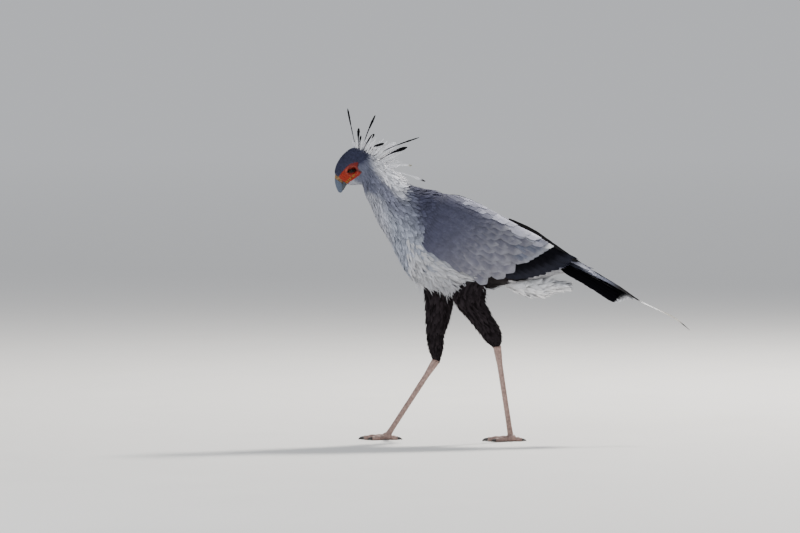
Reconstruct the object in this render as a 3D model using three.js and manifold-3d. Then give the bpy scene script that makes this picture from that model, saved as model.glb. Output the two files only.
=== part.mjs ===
// Secretary bird in life size, millimetres, facing -X with its left side towards -Y.
// The origin is on the floor below the middle of the bird's box.
import * as THREE from "three";
import { mergeVertices } from "three/addons/utils/BufferGeometryUtils.js";
import Module from "manifold-3d";

const wasm = await Module();
wasm.setup();

// Gap between touching parts, and the two sides of the bird.
const GAP = 0.35;
const LEFT = -1;
const RIGHT = 1;
const SIDE_NAMES = new Map([[LEFT, "left"], [RIGHT, "right"]]);

// Sections of the body: x and z of the upper point, x and z of the lower point, half the width.
const HEAD_SECTIONS = [
  [-379, 880, -341, 849, 15],
  [-380, 893, -334, 846, 20],
  [-371, 920, -320, 845, 27],
  [-349, 949, -306, 846, 31],
  [-318, 968, -297, 846, 34],
  [-275, 955, -289, 843, 37],
];
const NECK_SECTIONS = [
  [-275, 955, -289, 843, 37],
  [-226, 920, -277, 806, 42],
  [-180, 882, -259, 770, 48],
  [-135, 848, -238, 722, 59],
  [-86, 833, -205, 668, 71],
];
const TORSO_SECTIONS = [
  [-86, 833, -205, 668, 71],
  [-20, 819, -175, 610, 88],
  [60, 795, -138, 548, 98],
  [140, 755, -80, 512, 100],
  [215, 711, 10, 503, 94],
  [280, 674, 110, 506, 80],
  [330, 640, 215, 518, 58],
  [365, 618, 300, 532, 36],
];

// The folded wings lie on the torso and on this narrowing form behind it, outside the tail's base.
const WING_BED_END = [[405, 598, 362, 520, 36], [460, 566, 425, 505, 32]];
const WING_KEEP = { tailHalf: 31.5, from: 240, to: 330, flankShare: 0.84 };

// Bill, cere and eyes.
const CERE_SECTIONS = [[-379, 880, -350, 860, 14.5], [-380.5, 868, -352, 849.4, 13]];
const BILL_SECTIONS = [
  [-380.5, 867.6, -352, 849, 12.6],
  [-380, 857, -353.5, 841, 11.4],
  [-378, 845, -356, 833.5, 9.2],
  [-374, 832.5, -358.5, 826.5, 6],
  [-367.5, 820.5, -361.5, 819, 2.4],
];
const LOWER_BILL_SECTIONS = [
  [-351, 850, -335, 845, 10.6],
  [-353, 841.5, -342, 836, 8.8],
  [-356, 833.5, -349.5, 829.5, 5.8],
  [-358.3, 827.6, -355.2, 826, 2.4],
];
const NOSTRIL = { x: -366, y: 12.6, z: 862, long: 5, high: 2.2, deep: 3.4 };
const EYE = { x: -323, y: 17.5, z: 892, radius: 12.5 };
const LID_THICK = 1.9;
const LID_OPENING = { long: 20, high: 12.5, reach: 30 };
const MOUTH_LINE = { points: [[-345, 856], [-336, 862], [-327, 869], [-318, 873]], radius: 1.2 };

// Crest: root x and z, angle above the rear, length, width of the club near the tip, root y.
const CREST = [
  [-310, 966, 102, 135, 7, 4],
  [-300, 964, 91, 69, 11, -5],
  [-291, 960, 69, 124, 8, 6],
  [-287, 956, 57, 69, 12, -8],
  [-284, 953, 24, 73, 10, -11],
  [-257, 938, 22, 168, 9, -4],
  [-256, 936, 32, 92, 16, 9],
  [-236, 924, 24, 103, 14, -10],
  [-214, 906, 2, 89, 8, 6],
  [-198, 893, -17, 122, 9, -7],
];
const CREST_THICK = 1.5;
const CREST_STEM = 2.6;
const CREST_ROOT_DEPTH = 9;

// Folded wing, one smooth form out to its tips: a slanting frame that runs back along the bird's back.
const WING = {
  x: -36.5,
  z: 856,
  slope: 28,
  lift: 11,
  edgeLift: 3,
  innerLift: -2,
  top: 8,
  depth: 196,
  tipBack: 505,
  tipSlant: 0.72,
};

// Tail: six pairs, the middle pair drawn out into long streamers.
const TAIL_BASE_SECTIONS = [
  [364.3, 616.5, 306.8, 540.4, 25],
  [402, 604, 354, 548, 21],
  [446, 584, 412, 560, 12],
];
const STREAMERS = { lengths: new Map([[LEFT, 1], [RIGHT, 0.93]]), width: 36, roll: 20 };
const STREAMER_LINE = [[366, 604], [480, 551], [560, 506], [630, 461], [703, 426], [748, 402], [792, 366]];
const RECTRICES = { pairs: 4, longest: 288, shorter: 20, width: 48, thick: 1.3, slope: 27 };
const UNDERTAIL_SECTIONS = [
  [190, 530, 176, 508, 22],
  [245, 532, 235, 490, 27],
  [310, 532, 300, 480, 27],
  [362, 524, 356, 496, 20],
  [398, 514, 396, 503, 9],
];

// Legs: the far, right leg leads and the near, left leg trails.
const THIGH_SECTIONS = new Map([
  [LEFT, [
    [35, 520, 128, 566, 26, 46],
    [14, 478, 116, 500, 32, 46],
    [24, 448, 116, 455, 30, 46],
    [54, 414, 138, 414, 26, 45],
    [88, 372, 164, 370, 21, 44],
    [112, 340, 169, 346, 16, 44],
    [141, 312, 166, 322, 11.5, 44],
  ]],
  [RIGHT, [
    [-92, 540, 16, 540, 28, 46],
    [-82, 492, 12, 487, 32, 46],
    [-80, 450, 8, 448, 29, 46],
    [-78, 406, -2, 404, 25, 45],
    [-75, 350, -20, 346, 20, 44],
    [-69, 302, -24, 298, 15, 44],
    [-57, 270, -33, 262, 11.5, 44],
  ]],
]);
const ANKLES = new Map([[LEFT, [155, 315]], [RIGHT, [-44, 265]]]);
const FEET = new Map([[LEFT, [201, 43]], [RIGHT, [-208, 43]]]);
const SHANK = { deep: [13, 12, 9, 8.2, 8.4, 10], wide: [11, 10.5, 7.6, 7.2, 7.6, 10] };
const FOOT_TOP = 27;
const FOOT_PAD = { radius: 15, high: 12 };
const TOES = [
  { name: "inner", turn: 31, length: 58, radius: 8.2, claw: 17 },
  { name: "middle", turn: 0, length: 76, radius: 8.8, claw: 19 },
  { name: "outer", turn: -31, length: 60, radius: 8, claw: 16 },
  { name: "rear", turn: 172, length: 36, radius: 7.4, claw: 15 },
];
const SOLE_CUT = 1;

// Random numbers that are the same on each run.
function draws(seed) {
  let state = seed;
  return () => {
    state = (state + 0x6d2b79f5) | 0;
    let t = Math.imul(state ^ (state >>> 15), 1 | state);
    t = (t + Math.imul(t ^ (t >>> 7), 61 | t)) ^ t;
    return ((t ^ (t >>> 14)) >>> 0) / 4294967296;
  };
}

const radians = THREE.MathUtils.degToRad;
const mix = THREE.MathUtils.lerp;
const spot = (x, y, z) => new THREE.Vector3(x, y, z);

// A closed solid from points and triangles, turned to face out.
function solid(points, faces) {
  const build = (list) =>
    new wasm.Manifold(
      new wasm.Mesh({
        numProp: 3,
        vertProperties: new Float32Array(points.flat()),
        triVerts: new Uint32Array(list.flat()),
      }),
    );
  const made = build(faces);
  return made.volume() < 0 ? build(faces.map(([a, b, c]) => [a, c, b])) : made;
}

// A closed solid from a three.js geometry.
function fromGeometry(geometry) {
  const bare = geometry.clone();
  bare.deleteAttribute("normal");
  bare.deleteAttribute("uv");
  const merged = mergeVertices(bare, 1e-3);
  const flat = [...merged.attributes.position.array];
  const index = [...merged.index.array];
  const threes = (list) => Array.from({ length: list.length / 3 }, (_, i) => list.slice(3 * i, 3 * i + 3));
  return solid(threes(flat), threes(index));
}

const join = (bodies) => wasm.Manifold.union(bodies);

function largest(body) {
  return body.decompose().reduce((best, next) => (next.volume() > best.volume() ? next : best));
}

// A closed skin over rings of equal count, whose second half is split like the first, seen through it.
function skin(rings) {
  const sides = rings[0].length;
  const last = (rings.length - 1) * sides;
  const faces = [];
  for (let i = 0; i < rings.length - 1; i++) {
    for (let j = 0; j < sides; j++) {
      const a = i * sides + j;
      const b = i * sides + ((j + 1) % sides);
      const [c, d] = [b + sides, a + sides];
      faces.push(...(j < sides / 2 ? [[a, b, c], [a, c, d]] : [[a, b, d], [b, c, d]]));
    }
  }
  for (let j = 0; j < sides / 2 - 1; j++) {
    const [a, b, c, d] = [j, j + 1, sides - 2 - j, sides - 1 - j];
    faces.push([a, d, c], [a, c, b]);
    faces.push([last + a, last + b, last + c], [last + a, last + c, last + d]);
  }
  return solid(rings.flat(), faces);
}

// Rows of numbers made denser along a smooth curve through them.
function smooth(rows, steps) {
  const out = [];
  for (let i = 0; i < rows.length - 1; i++) {
    const before = rows[Math.max(i - 1, 0)];
    const after = rows[Math.min(i + 2, rows.length - 1)];
    for (let s = 0; s < steps; s++) {
      const t = s / steps;
      out.push(
        rows[i].map((from, k) => {
          const to = rows[i + 1][k];
          const bend = 2 * before[k] - 5 * from + 4 * to - after[k];
          const turn = 3 * from - before[k] - 3 * to + after[k];
          return 0.5 * (2 * from + (to - before[k]) * t + bend * t * t + turn * t * t * t);
        }),
      );
    }
  }
  out.push(rows.at(-1));
  return out;
}

// The oval ring of one section row.
function oval([ux, uz, lx, lz, half, y = 0], sides) {
  return Array.from({ length: sides }, (_, k) => {
    const turn = (2 * Math.PI * k) / sides;
    const up = Math.cos(turn) / 2;
    return [
      (ux + lx) / 2 + (ux - lx) * up,
      y + half * Math.sin(turn),
      (uz + lz) / 2 + (uz - lz) * up,
    ];
  });
}

const loft = (rows, steps, sides) => skin(smooth(rows, steps).map((row) => oval(row, sides)));

// Section rows grown outwards by a distance, also past both ends.
function grown(rows, distance) {
  const out = rows.map(([ux, uz, lx, lz, half, ...rest]) => {
    const [dx, dz] = [ux - lx, uz - lz];
    const long = Math.hypot(dx, dz);
    const [gx, gz] = [(dx / long) * distance, (dz / long) * distance];
    return [ux + gx, uz + gz, lx - gx, lz - gz, half + distance, ...rest];
  });
  const shift = (row, from) => {
    const step = [row[0] + row[2] - from[0] - from[2], row[1] + row[3] - from[1] - from[3]];
    const long = Math.hypot(...step);
    const [sx, sz] = step.map((value) => (value / long) * distance);
    return [row[0] + sx, row[1] + sz, row[2] + sx, row[3] + sz, ...row.slice(4)];
  };
  return [shift(out[0], out[1]), ...out.slice(1, -1), shift(out.at(-1), out.at(-2))];
}

// A point on the skin of a bed of sections, seen from the side at x and z, lifted off it.
// The bed's keepOut is the least distance from the bird's middle plane.
function drape({ rows, keepOut = () => 0 }, side, [x, z], lift) {
  const offset = ([ux, uz, lx, lz]) => (ux - lx) * (z - lz) - (uz - lz) * (x - lx);
  let i = 0;
  while (i < rows.length - 2 && offset(rows[i + 1]) < 0) i++;
  const [from, to] = [offset(rows[i]), offset(rows[i + 1])];
  const t = THREE.MathUtils.clamp(from / (from - to), 0, 1);
  const [ux, uz, lx, lz, half] = rows[i].map((value, k) => mix(value, rows[i + 1][k], t));
  const [mx, mz, hx, hz] = [(ux + lx) / 2, (uz + lz) / 2, (ux - lx) / 2, (uz - lz) / 2];
  const high = Math.hypot(hx, hz);
  const wanted = ((x - mx) * hx + (z - mz) * hz) / (high * high);
  const up = THREE.MathUtils.clamp(wanted, -0.97, 0.97);
  const out = Math.sqrt(1 - up * up);
  const normal = spot((up / high) * (hx / high), (out / half) * side, (up / high) * (hz / high)).normalize();
  const [sx, sz] = [x - mx - wanted * hx, z - mz - wanted * hz];
  const place = spot(mx + hx * up + sx, side * half * out, mz + hz * up + sz);
  place.addScaledVector(normal, lift);
  place.y = side * Math.max(Math.abs(place.y), keepOut(x, up, half) + lift);
  return place;
}

// Places and frames along a path, for tubes and vanes.
function frames(path, side) {
  return path.map((place, i) => {
    const ahead = path[Math.min(i + 1, path.length - 1)];
    const along = ahead.clone().sub(path[Math.max(i - 1, 0)]).normalize();
    const up = along.clone().cross(side).normalize();
    return { place, up, across: up.clone().cross(along).normalize() };
  });
}

function tube(path, wide, deep, side, sides) {
  const rings = frames(path, side).map(({ place, up, across }, i) =>
    Array.from({ length: sides }, (_, k) => {
      const turn = (2 * Math.PI * k) / sides;
      const at = place.clone().addScaledVector(up, deep[i] * Math.cos(turn));
      return at.addScaledVector(across, wide[i] * Math.sin(turn)).toArray();
    }),
  );
  return skin(rings);
}

// A feather's vane along a path: flat, or ridged along its shaft by the camber.
function vane(path, half, thick, side, camber = 0) {
  const rings = frames(path, side).map(({ place, up, across }, i) => {
    const at = (sideways, height) =>
      place.clone().addScaledVector(across, sideways * half[i]).addScaledVector(up, height).toArray();
    const ridge = camber * Math.min(1, half[i] / half[1]);
    const top = [at(1, thick / 2), at(0, thick / 2 + ridge), at(-1, thick / 2)];
    const under = [at(-1, -thick / 2), at(0, ridge - thick / 2), at(1, -thick / 2)];
    return camber ? [...top, ...under] : [top[0], top[2], under[0], under[2]];
  });
  return skin(rings);
}

// Vane half widths from root to tip, as shares of the widest, with the places where they hold.
const VANE_PLACES = [0, 0.14, 0.45, 0.84, 1];
const VANE_SHARES = [0.34, 0.7, 1, 0.86, 0.34];
// How far a vane's root is sunk below what it lies on.
const ROOT_SINK = 3.5;

// A feather that lies on a bed: it rises off it towards its tip and its lower edge.
function drapedVane(bed, side, root, tip, width, thick, liftAt, tilt) {
  const along = [tip[0] - root[0], tip[1] - root[1]];
  const long = Math.hypot(...along);
  const down = [along[1] / long, -along[0] / long];
  const rootLift = liftAt(root, 0) - ROOT_SINK;
  const rings = VANE_PLACES.map((t, i) => {
    const half = (VANE_SHARES[i] * width) / 2;
    const place = (sign) => [
      mix(root[0], tip[0], t) + down[0] * half * sign,
      mix(root[1], tip[1], t) + down[1] * half * sign,
    ];
    const at = (sign, depth) => {
      const lift = i ? liftAt(place(sign), t * long) : rootLift;
      return drape(bed, side, place(sign), lift + sign * tilt * half - depth).toArray();
    };
    return [...[-1, 0, 1].map((sign) => at(sign, 0)), ...[1, 0, -1].map((sign) => at(sign, thick))];
  });
  return skin(rings);
}

const ball = (radius, around, high) => fromGeometry(new THREE.SphereGeometry(radius, around, high));

function slab(low, high) {
  const box = fromGeometry(new THREE.BoxGeometry(4000, 4000, high - low));
  return box.translate([0, 0, (low + high) / 2]);
}

// Crest
function crestFeather([x, z, angle, length, club, y], random) {
  const lean = radians(angle);
  const along = spot(Math.cos(lean), y * 0.012, Math.sin(lean)).normalize();
  const root = spot(x, y, z).addScaledVector(along, -CREST_ROOT_DEPTH);
  const tip = spot(x, y, z).addScaledVector(along, length);
  const bend = root.clone().lerp(tip, 0.5).add(spot(-4, 0, 6 + 3 * random()));
  const curve = new THREE.QuadraticBezierCurve3(root, bend, tip);
  const places = [0, 0.45, 0.66, 0.84, 0.95, 1];
  const half = [CREST_STEM, CREST_STEM * 0.8, club * 0.7, club, club * 0.66, club * 0.3].map((w) => w / 2);
  const roll = radians(mix(-28, 28, random()));
  const flat = spot(-Math.sin(lean), 0, Math.cos(lean));
  const across = flat.multiplyScalar(Math.cos(roll)).add(spot(0, Math.sin(roll), 0));
  return vane(places.map((t) => curve.getPoint(t)), half, CREST_THICK, across);
}

function crest(isMine) {
  const random = draws(11);
  const near = CREST.map((row) => [row, crestFeather(row, random)]);
  const far = CREST.filter((_, i) => i % 2 === 1 || i === 4).map(([x, z, angle, length, club, y]) => {
    const turned = angle - 4 - 9 * random();
    const row = [x + 3, z - 2, turned, length * mix(0.7, 0.92, random()), club * 0.9, -1.3 * y];
    return [row, crestFeather(row, random)];
  });
  return [...near, ...far].filter(([row]) => isMine(row[0])).map(([, body]) => body);
}

// Head, with lids round the eyes and the line of the mouth.
function eyeBall(side, radius) {
  return ball(radius, 14, 10).translate([EYE.x, side * EYE.y, EYE.z]);
}

function lidOpening(side) {
  const { long, high, reach } = LID_OPENING;
  const almond = new THREE.Shape();
  almond.moveTo(-long / 2, 0);
  almond.quadraticCurveTo(0, high, long / 2, 0);
  almond.quadraticCurveTo(0, -high, -long / 2, 0);
  const prism = new THREE.ExtrudeGeometry(almond, { depth: reach, bevelEnabled: false, curveSegments: 6 });
  prism.rotateX(Math.PI / 2);
  prism.translate(EYE.x, side === LEFT ? -EYE.y : EYE.y + reach, EYE.z);
  return fromGeometry(prism);
}

function mouthLine(side, bed) {
  const path = MOUTH_LINE.points.map((point) => drape(bed, side, point, 0));
  const radii = path.map((_, i) => MOUTH_LINE.radius * (i === path.length - 1 ? 0.5 : 1));
  return tube(path, radii, radii, spot(0, side, 0), 6);
}

function headBody() {
  const bed = { rows: smooth(HEAD_SECTIONS, 3) };
  const sides = [LEFT, RIGHT];
  const full = join([
    loft(HEAD_SECTIONS, 2, 22),
    ...sides.map((side) => eyeBall(side, EYE.radius + LID_THICK)),
    ...crest((x) => x < -276),
  ]);
  const cuts = sides.flatMap((side) => [
    eyeBall(side, EYE.radius + GAP),
    lidOpening(side),
    mouthLine(side, bed),
  ]);
  return full.subtract(join(cuts)).subtract(loft(grown(NECK_SECTIONS, GAP), 2, 24));
}

function neckBody() {
  return join([loft(NECK_SECTIONS, 2, 24), ...crest((x) => x > -276)]);
}

// Bill
function cereBody(headClear) {
  const { x, y, z, long, high, deep } = NOSTRIL;
  const dent = ball(1, 8, 4).scale([long / 2, deep, high / 2]).rotate([0, 24, 0]);
  const nostril = (side) => dent.translate([x, side * y, z]);
  return loft(CERE_SECTIONS, 2, 16)
    .subtract(headClear)
    .subtract(join([nostril(LEFT), nostril(RIGHT)]));
}

// Wing
const WING_ALONG = [Math.cos(radians(WING.slope)), -Math.sin(radians(WING.slope))];
const WING_DOWN = [WING_ALONG[1], -WING_ALONG[0]];
const wingPoint = (back, down) => [
  WING.x + WING_ALONG[0] * back + WING_DOWN[0] * down,
  WING.z + WING_ALONG[1] * back + WING_DOWN[1] * down,
];
const wingFrontEdge = (down) => 18 + 0.14 * down + 22 * Math.max(0, 1 - down / 70);

function wingLift([x, z]) {
  const [dx, dz] = [x - WING.x, z - WING.z];
  const back = dx * WING_ALONG[0] + dz * WING_ALONG[1];
  const down = dx * WING_DOWN[0] + dz * WING_DOWN[1];
  const inside = Math.min(back - wingFrontEdge(down), WING.depth + 14 - down);
  const share = THREE.MathUtils.smoothstep(inside, 0, 42);
  return mix(WING.edgeLift, WING.lift, share);
}

function wingBody(side, torsoClear) {
  const { tailHalf, from, to, flankShare } = WING_KEEP;
  const keepOut = (x, up, half) =>
    Math.max(tailHalf * THREE.MathUtils.smoothstep(x, from, to), up < 0 ? flankShare * half : 0);
  const bed = { rows: smooth([...TORSO_SECTIONS, ...WING_BED_END], 4), keepOut };
  const places = (count) => Array.from({ length: count + 1 }, (_, i) => i / count);
  const rings = places(12).map((u) => {
    const point = (v) => {
      const down = mix(WING.top, WING.depth, v);
      return wingPoint(mix(wingFrontEdge(down), WING.tipBack - WING.tipSlant * down, u), down);
    };
    const outer = places(7).map((v) => drape(bed, side, point(v), wingLift(point(v))).toArray());
    const inner = places(7).map((v) => drape(bed, side, point(v), WING.innerLift).toArray());
    return [...outer, ...inner.reverse()];
  });
  return skin(rings).subtract(torsoClear);
}

// Tail
function streamer(side) {
  const line = new THREE.CatmullRomCurve3(STREAMER_LINE.map(([x, z]) => spot(x, side * 5, z)));
  const full = STREAMERS.lengths.get(side);
  const places = [0, 0.25, 0.5, 0.72, 0.88, 0.97, 1];
  const shares = [0.5, 1, 0.86, 0.66, 0.7, 0.5, 0.2];
  const roll = radians(STREAMERS.roll);
  const across = spot(0, Math.cos(roll) * side, -Math.sin(roll));
  const path = places.map((t) => line.getPoint(t * full).add(spot(0, side * (6 + 12 * t), 0)));
  return vane(path, shares.map((w) => (w * STREAMERS.width) / 2), RECTRICES.thick, across, 1.6);
}

function rectrix(side, pair, random) {
  const share = pair / (RECTRICES.pairs - 1);
  const long = RECTRICES.longest - RECTRICES.shorter * pair + mix(-4, 4, random());
  const slope = radians(RECTRICES.slope + 2.2 * pair);
  const roll = radians(mix(28, 64, share));
  const root = spot(366, side * (7 + 2.6 * pair), 599 - 9 * pair);
  const reach = spot(Math.cos(slope) * long, side * (12 + 4.5 * pair), -Math.sin(slope) * long);
  const tip = root.clone().add(reach);
  const bend = root.clone().lerp(tip, 0.5).add(spot(0, side * 3, 22));
  const curve = new THREE.QuadraticBezierCurve3(root, bend, tip);
  const across = spot(0, Math.cos(roll) * side, -Math.sin(roll));
  const half = [0.4, 0.86, 1, 0.86, 0.4].map((w) => (w * RECTRICES.width) / 2);
  return vane([0, 0.3, 0.65, 0.92, 1].map((t) => curve.getPoint(t)), half, RECTRICES.thick, across);
}

function tailBody(torsoClear) {
  const random = draws(31);
  const pairs = Array.from({ length: RECTRICES.pairs }, (_, pair) => pair);
  const full = join([
    loft(TAIL_BASE_SECTIONS, 2, 16),
    ...[LEFT, RIGHT].map(streamer),
    ...[LEFT, RIGHT].flatMap((side) => pairs.map((pair) => rectrix(side, pair, random))),
  ]);
  return full.subtract(torsoClear);
}

// Pale feathers under the tail
function undertailBody(torsoClear, tailBaseClear) {
  const random = draws(41);
  const bed = { rows: smooth(UNDERTAIL_SECTIONS, 3) };
  const vanes = [];
  for (const side of [LEFT, RIGHT]) {
    for (let row = 0; row < 2; row++) {
      for (let column = 0; column < 2 - row; column++) {
        const x = 214 + 76 * column + 40 * row;
        const z = 516 - 17 * row + 3 * random();
        const tip = [x + 88, z - 9 + 4 * column];
        vanes.push(drapedVane(bed, side, [x, z], tip, 27, 1, (_, run) => 1 + 0.05 * run, 0.06));
      }
    }
  }
  return join([loft(UNDERTAIL_SECTIONS, 2, 12), ...vanes]).subtract(torsoClear).subtract(tailBaseClear);
}

// Legs
function shank(side) {
  const [ax, az] = ANKLES.get(side);
  const [fx, fy] = FEET.get(side);
  const path = [0, 0.07, 0.2, 0.6, 0.88, 1].map((t) =>
    spot(mix(ax, fx, t), side * mix(44, fy, t), mix(az, FOOT_PAD.high, t)),
  );
  return tube(path, SHANK.wide, SHANK.deep, spot(0, 1, 0), 12);
}

function toe(side, { turn, length, radius }) {
  const [fx, fy] = FEET.get(side);
  const angle = radians(turn);
  const ahead = spot(-Math.cos(angle), -side * Math.sin(angle), 0);
  const shares = [0, 0.3, 0.55, 0.8, 1];
  const radii = [1.1, 1, 1.04, 0.94, 0.8].map((share) => share * radius);
  const path = shares.map((t, i) =>
    spot(fx, side * fy, radii[i] - SOLE_CUT + 4 * (1 - t) ** 3).addScaledVector(ahead, length * t),
  );
  const across = ahead.clone().cross(spot(0, 0, 1));
  return { body: tube(path, radii, radii, across, 8), end: path.at(-1), before: path.at(-2), across, radii };
}

function clawBody(side, kind) {
  const { end, before, across, radii } = toe(side, kind);
  const along = end.clone().sub(before).normalize();
  const start = end.clone().addScaledVector(along, GAP);
  const flat = spot(along.x, along.y, 0);
  const fall = [0, 0, 0.12, 0.42, 0.72];
  const path = [0, 0.3, 0.6, 0.85, 1].map((t, i) =>
    start.clone().addScaledVector(i < 2 ? along : flat, kind.claw * t).add(spot(0, 0, -start.z * fall[i])),
  );
  const thick = [0.78, 0.74, 0.56, 0.34, 0.1].map((share) => share * radii.at(-1));
  return tube(path, thick.map((r) => r * 0.8), thick, across, 8).subtract(slab(-50, 0));
}

function footBody(side) {
  const [fx, fy] = FEET.get(side);
  const round = ball(FOOT_PAD.radius, 12, 8).scale([1.15, 0.95, 0.9]);
  const pad = round.translate([fx, side * fy, FOOT_PAD.high]);
  const instep = shank(side).subtract(slab(FOOT_TOP, 900));
  return join([pad, instep, ...TOES.map((kind) => toe(side, kind).body)]).subtract(slab(-50, 0));
}

// The bird, one named mesh for each part of the body.
const bird = new THREE.Group();

function add(name, body, color, roughness) {
  const { numProp, vertProperties, triVerts } = largest(body).getMesh();
  const count = vertProperties.length / numProp;
  const places = new Float32Array(count * 3);
  for (let i = 0; i < count; i++) {
    places.set(vertProperties.subarray(i * numProp, i * numProp + 3), i * 3);
  }
  const geometry = new THREE.BufferGeometry();
  geometry.setAttribute("position", new THREE.BufferAttribute(places, 3));
  geometry.setIndex(new THREE.BufferAttribute(new Uint32Array(triVerts), 1));
  geometry.computeVertexNormals();
  const mesh = new THREE.Mesh(geometry, new THREE.MeshStandardMaterial({ color, roughness, metalness: 0 }));
  mesh.name = name;
  bird.add(mesh);
}

const torsoClear = loft(grown(TORSO_SECTIONS, GAP), 2, 24);
const tailBaseClear = loft(grown(TAIL_BASE_SECTIONS, GAP), 2, 16);
const headClear = loft(grown(HEAD_SECTIONS, GAP), 2, 22);
const lowerBillClear = loft(grown(LOWER_BILL_SECTIONS, GAP), 2, 12);

add("head", headBody(), 0x4a4b60, 0.9);
add("neck", neckBody(), 0x9a9dad, 0.95);
add("torso", loft(TORSO_SECTIONS, 2, 24), 0x8d90a6, 0.95);
add("cere", cereBody(headClear).subtract(lowerBillClear), 0xc9a83c, 0.5);
add("bill_upper", loft(BILL_SECTIONS, 2, 16).subtract(headClear).subtract(lowerBillClear), 0x7f90a3, 0.4);
add("bill_lower", loft(LOWER_BILL_SECTIONS, 2, 12).subtract(headClear), 0x75859a, 0.4);
add("tail", tailBody(torsoClear), 0x2c2d38, 0.8);
add("undertail_coverts", undertailBody(torsoClear, tailBaseClear), 0xb9bdcc, 0.95);
for (const [side, name] of SIDE_NAMES) {
  const thighRows = THIGH_SECTIONS.get(side).map((row) => [...row.slice(0, 5), side * row[5]]);
  const thighClear = loft(grown(thighRows, GAP), 2, 16);
  add("eye_" + name, eyeBall(side, EYE.radius), 0x1a0f0a, 0.1);
  add("wing_" + name, wingBody(side, torsoClear), 0x6b6f86, 0.85);
  add("thigh_" + name, loft(thighRows, 2, 16).subtract(torsoClear), 0x17171c, 0.95);
  add("tarsus_" + name, shank(side).subtract(thighClear).subtract(slab(-50, FOOT_TOP + GAP)), 0x9a8078, 0.6);
  add("foot_" + name, footBody(side), 0x94796f, 0.65);
  for (const kind of TOES) add("claw_" + name + "_" + kind.name, clawBody(side, kind), 0x1c1a1a, 0.4);
}

const box = new THREE.Box3().setFromObject(bird);
const middle = box.getCenter(new THREE.Vector3());
bird.position.set(-middle.x, -middle.y, -box.min.z);

export default bird;
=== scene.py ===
import math

import bpy
import numpy as np
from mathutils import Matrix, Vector


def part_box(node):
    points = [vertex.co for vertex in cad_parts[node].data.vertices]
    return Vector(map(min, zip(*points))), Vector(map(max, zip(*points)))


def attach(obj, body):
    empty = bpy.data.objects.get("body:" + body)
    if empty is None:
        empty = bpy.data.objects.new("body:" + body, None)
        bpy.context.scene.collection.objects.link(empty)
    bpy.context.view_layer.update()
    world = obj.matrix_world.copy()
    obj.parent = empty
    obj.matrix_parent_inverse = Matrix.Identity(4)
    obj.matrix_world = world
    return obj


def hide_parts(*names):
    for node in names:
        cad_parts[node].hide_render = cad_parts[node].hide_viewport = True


# A secretary bird in life size, metres, facing -X with its left side towards -Y.

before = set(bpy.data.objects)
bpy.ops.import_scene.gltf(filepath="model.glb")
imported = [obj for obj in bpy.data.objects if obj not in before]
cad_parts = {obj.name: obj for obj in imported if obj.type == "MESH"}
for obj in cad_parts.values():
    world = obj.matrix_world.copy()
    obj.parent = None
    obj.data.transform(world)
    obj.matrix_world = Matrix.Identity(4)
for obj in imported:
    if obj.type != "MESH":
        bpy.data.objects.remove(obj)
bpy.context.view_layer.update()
LEFT, RIGHT = -1, 1
SIDES = {LEFT: "left", RIGHT: "right"}


def linear(red, green, blue):
    """A colour as light, from red, green and blue of 0 to 255 as a screen shows them."""
    value = np.array([red, green, blue]) / 255
    return np.where(value < 0.04045, value / 12.92, ((value + 0.055) / 1.055) ** 2.4)


# Sections of the body: x and z of the upper point, x and z of the lower point, half the width.
HEAD_SECTIONS = [
    [-0.379, 0.880, -0.341, 0.849, 0.015],
    [-0.380, 0.893, -0.334, 0.846, 0.020],
    [-0.371, 0.920, -0.320, 0.845, 0.027],
    [-0.349, 0.949, -0.306, 0.846, 0.031],
    [-0.318, 0.968, -0.297, 0.846, 0.034],
    [-0.275, 0.955, -0.289, 0.843, 0.037],
]
NECK_SECTIONS = [
    [-0.226, 0.920, -0.277, 0.806, 0.042],
    [-0.180, 0.882, -0.259, 0.770, 0.048],
    [-0.135, 0.848, -0.238, 0.722, 0.059],
    [-0.086, 0.833, -0.205, 0.668, 0.071],
]
TORSO_SECTIONS = [
    [-0.020, 0.819, -0.175, 0.610, 0.088],
    [0.060, 0.795, -0.138, 0.548, 0.098],
    [0.140, 0.755, -0.080, 0.512, 0.100],
    [0.215, 0.711, 0.010, 0.503, 0.094],
    [0.280, 0.674, 0.110, 0.506, 0.080],
    [0.330, 0.640, 0.215, 0.518, 0.058],
    [0.365, 0.618, 0.300, 0.532, 0.036],
]
TAIL_BASE = [[0.402, 0.604, 0.354, 0.548, 0.021], [0.446, 0.584, 0.412, 0.560, 0.012]]
WING_BED_END = [[0.405, 0.598, 0.362, 0.520, 0.036], [0.460, 0.566, 0.425, 0.505, 0.032]]
BODY = HEAD_SECTIONS + NECK_SECTIONS + TORSO_SECTIONS + TAIL_BASE
HEAD_END = (len(HEAD_SECTIONS) - 1) / (len(BODY) - 1)
NECK_END = (len(HEAD_SECTIONS) + len(NECK_SECTIONS) - 1) / (len(BODY) - 1)
TORSO_END = (len(HEAD_SECTIONS) + len(NECK_SECTIONS) + len(TORSO_SECTIONS) - 1) / (len(BODY) - 1)
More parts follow.
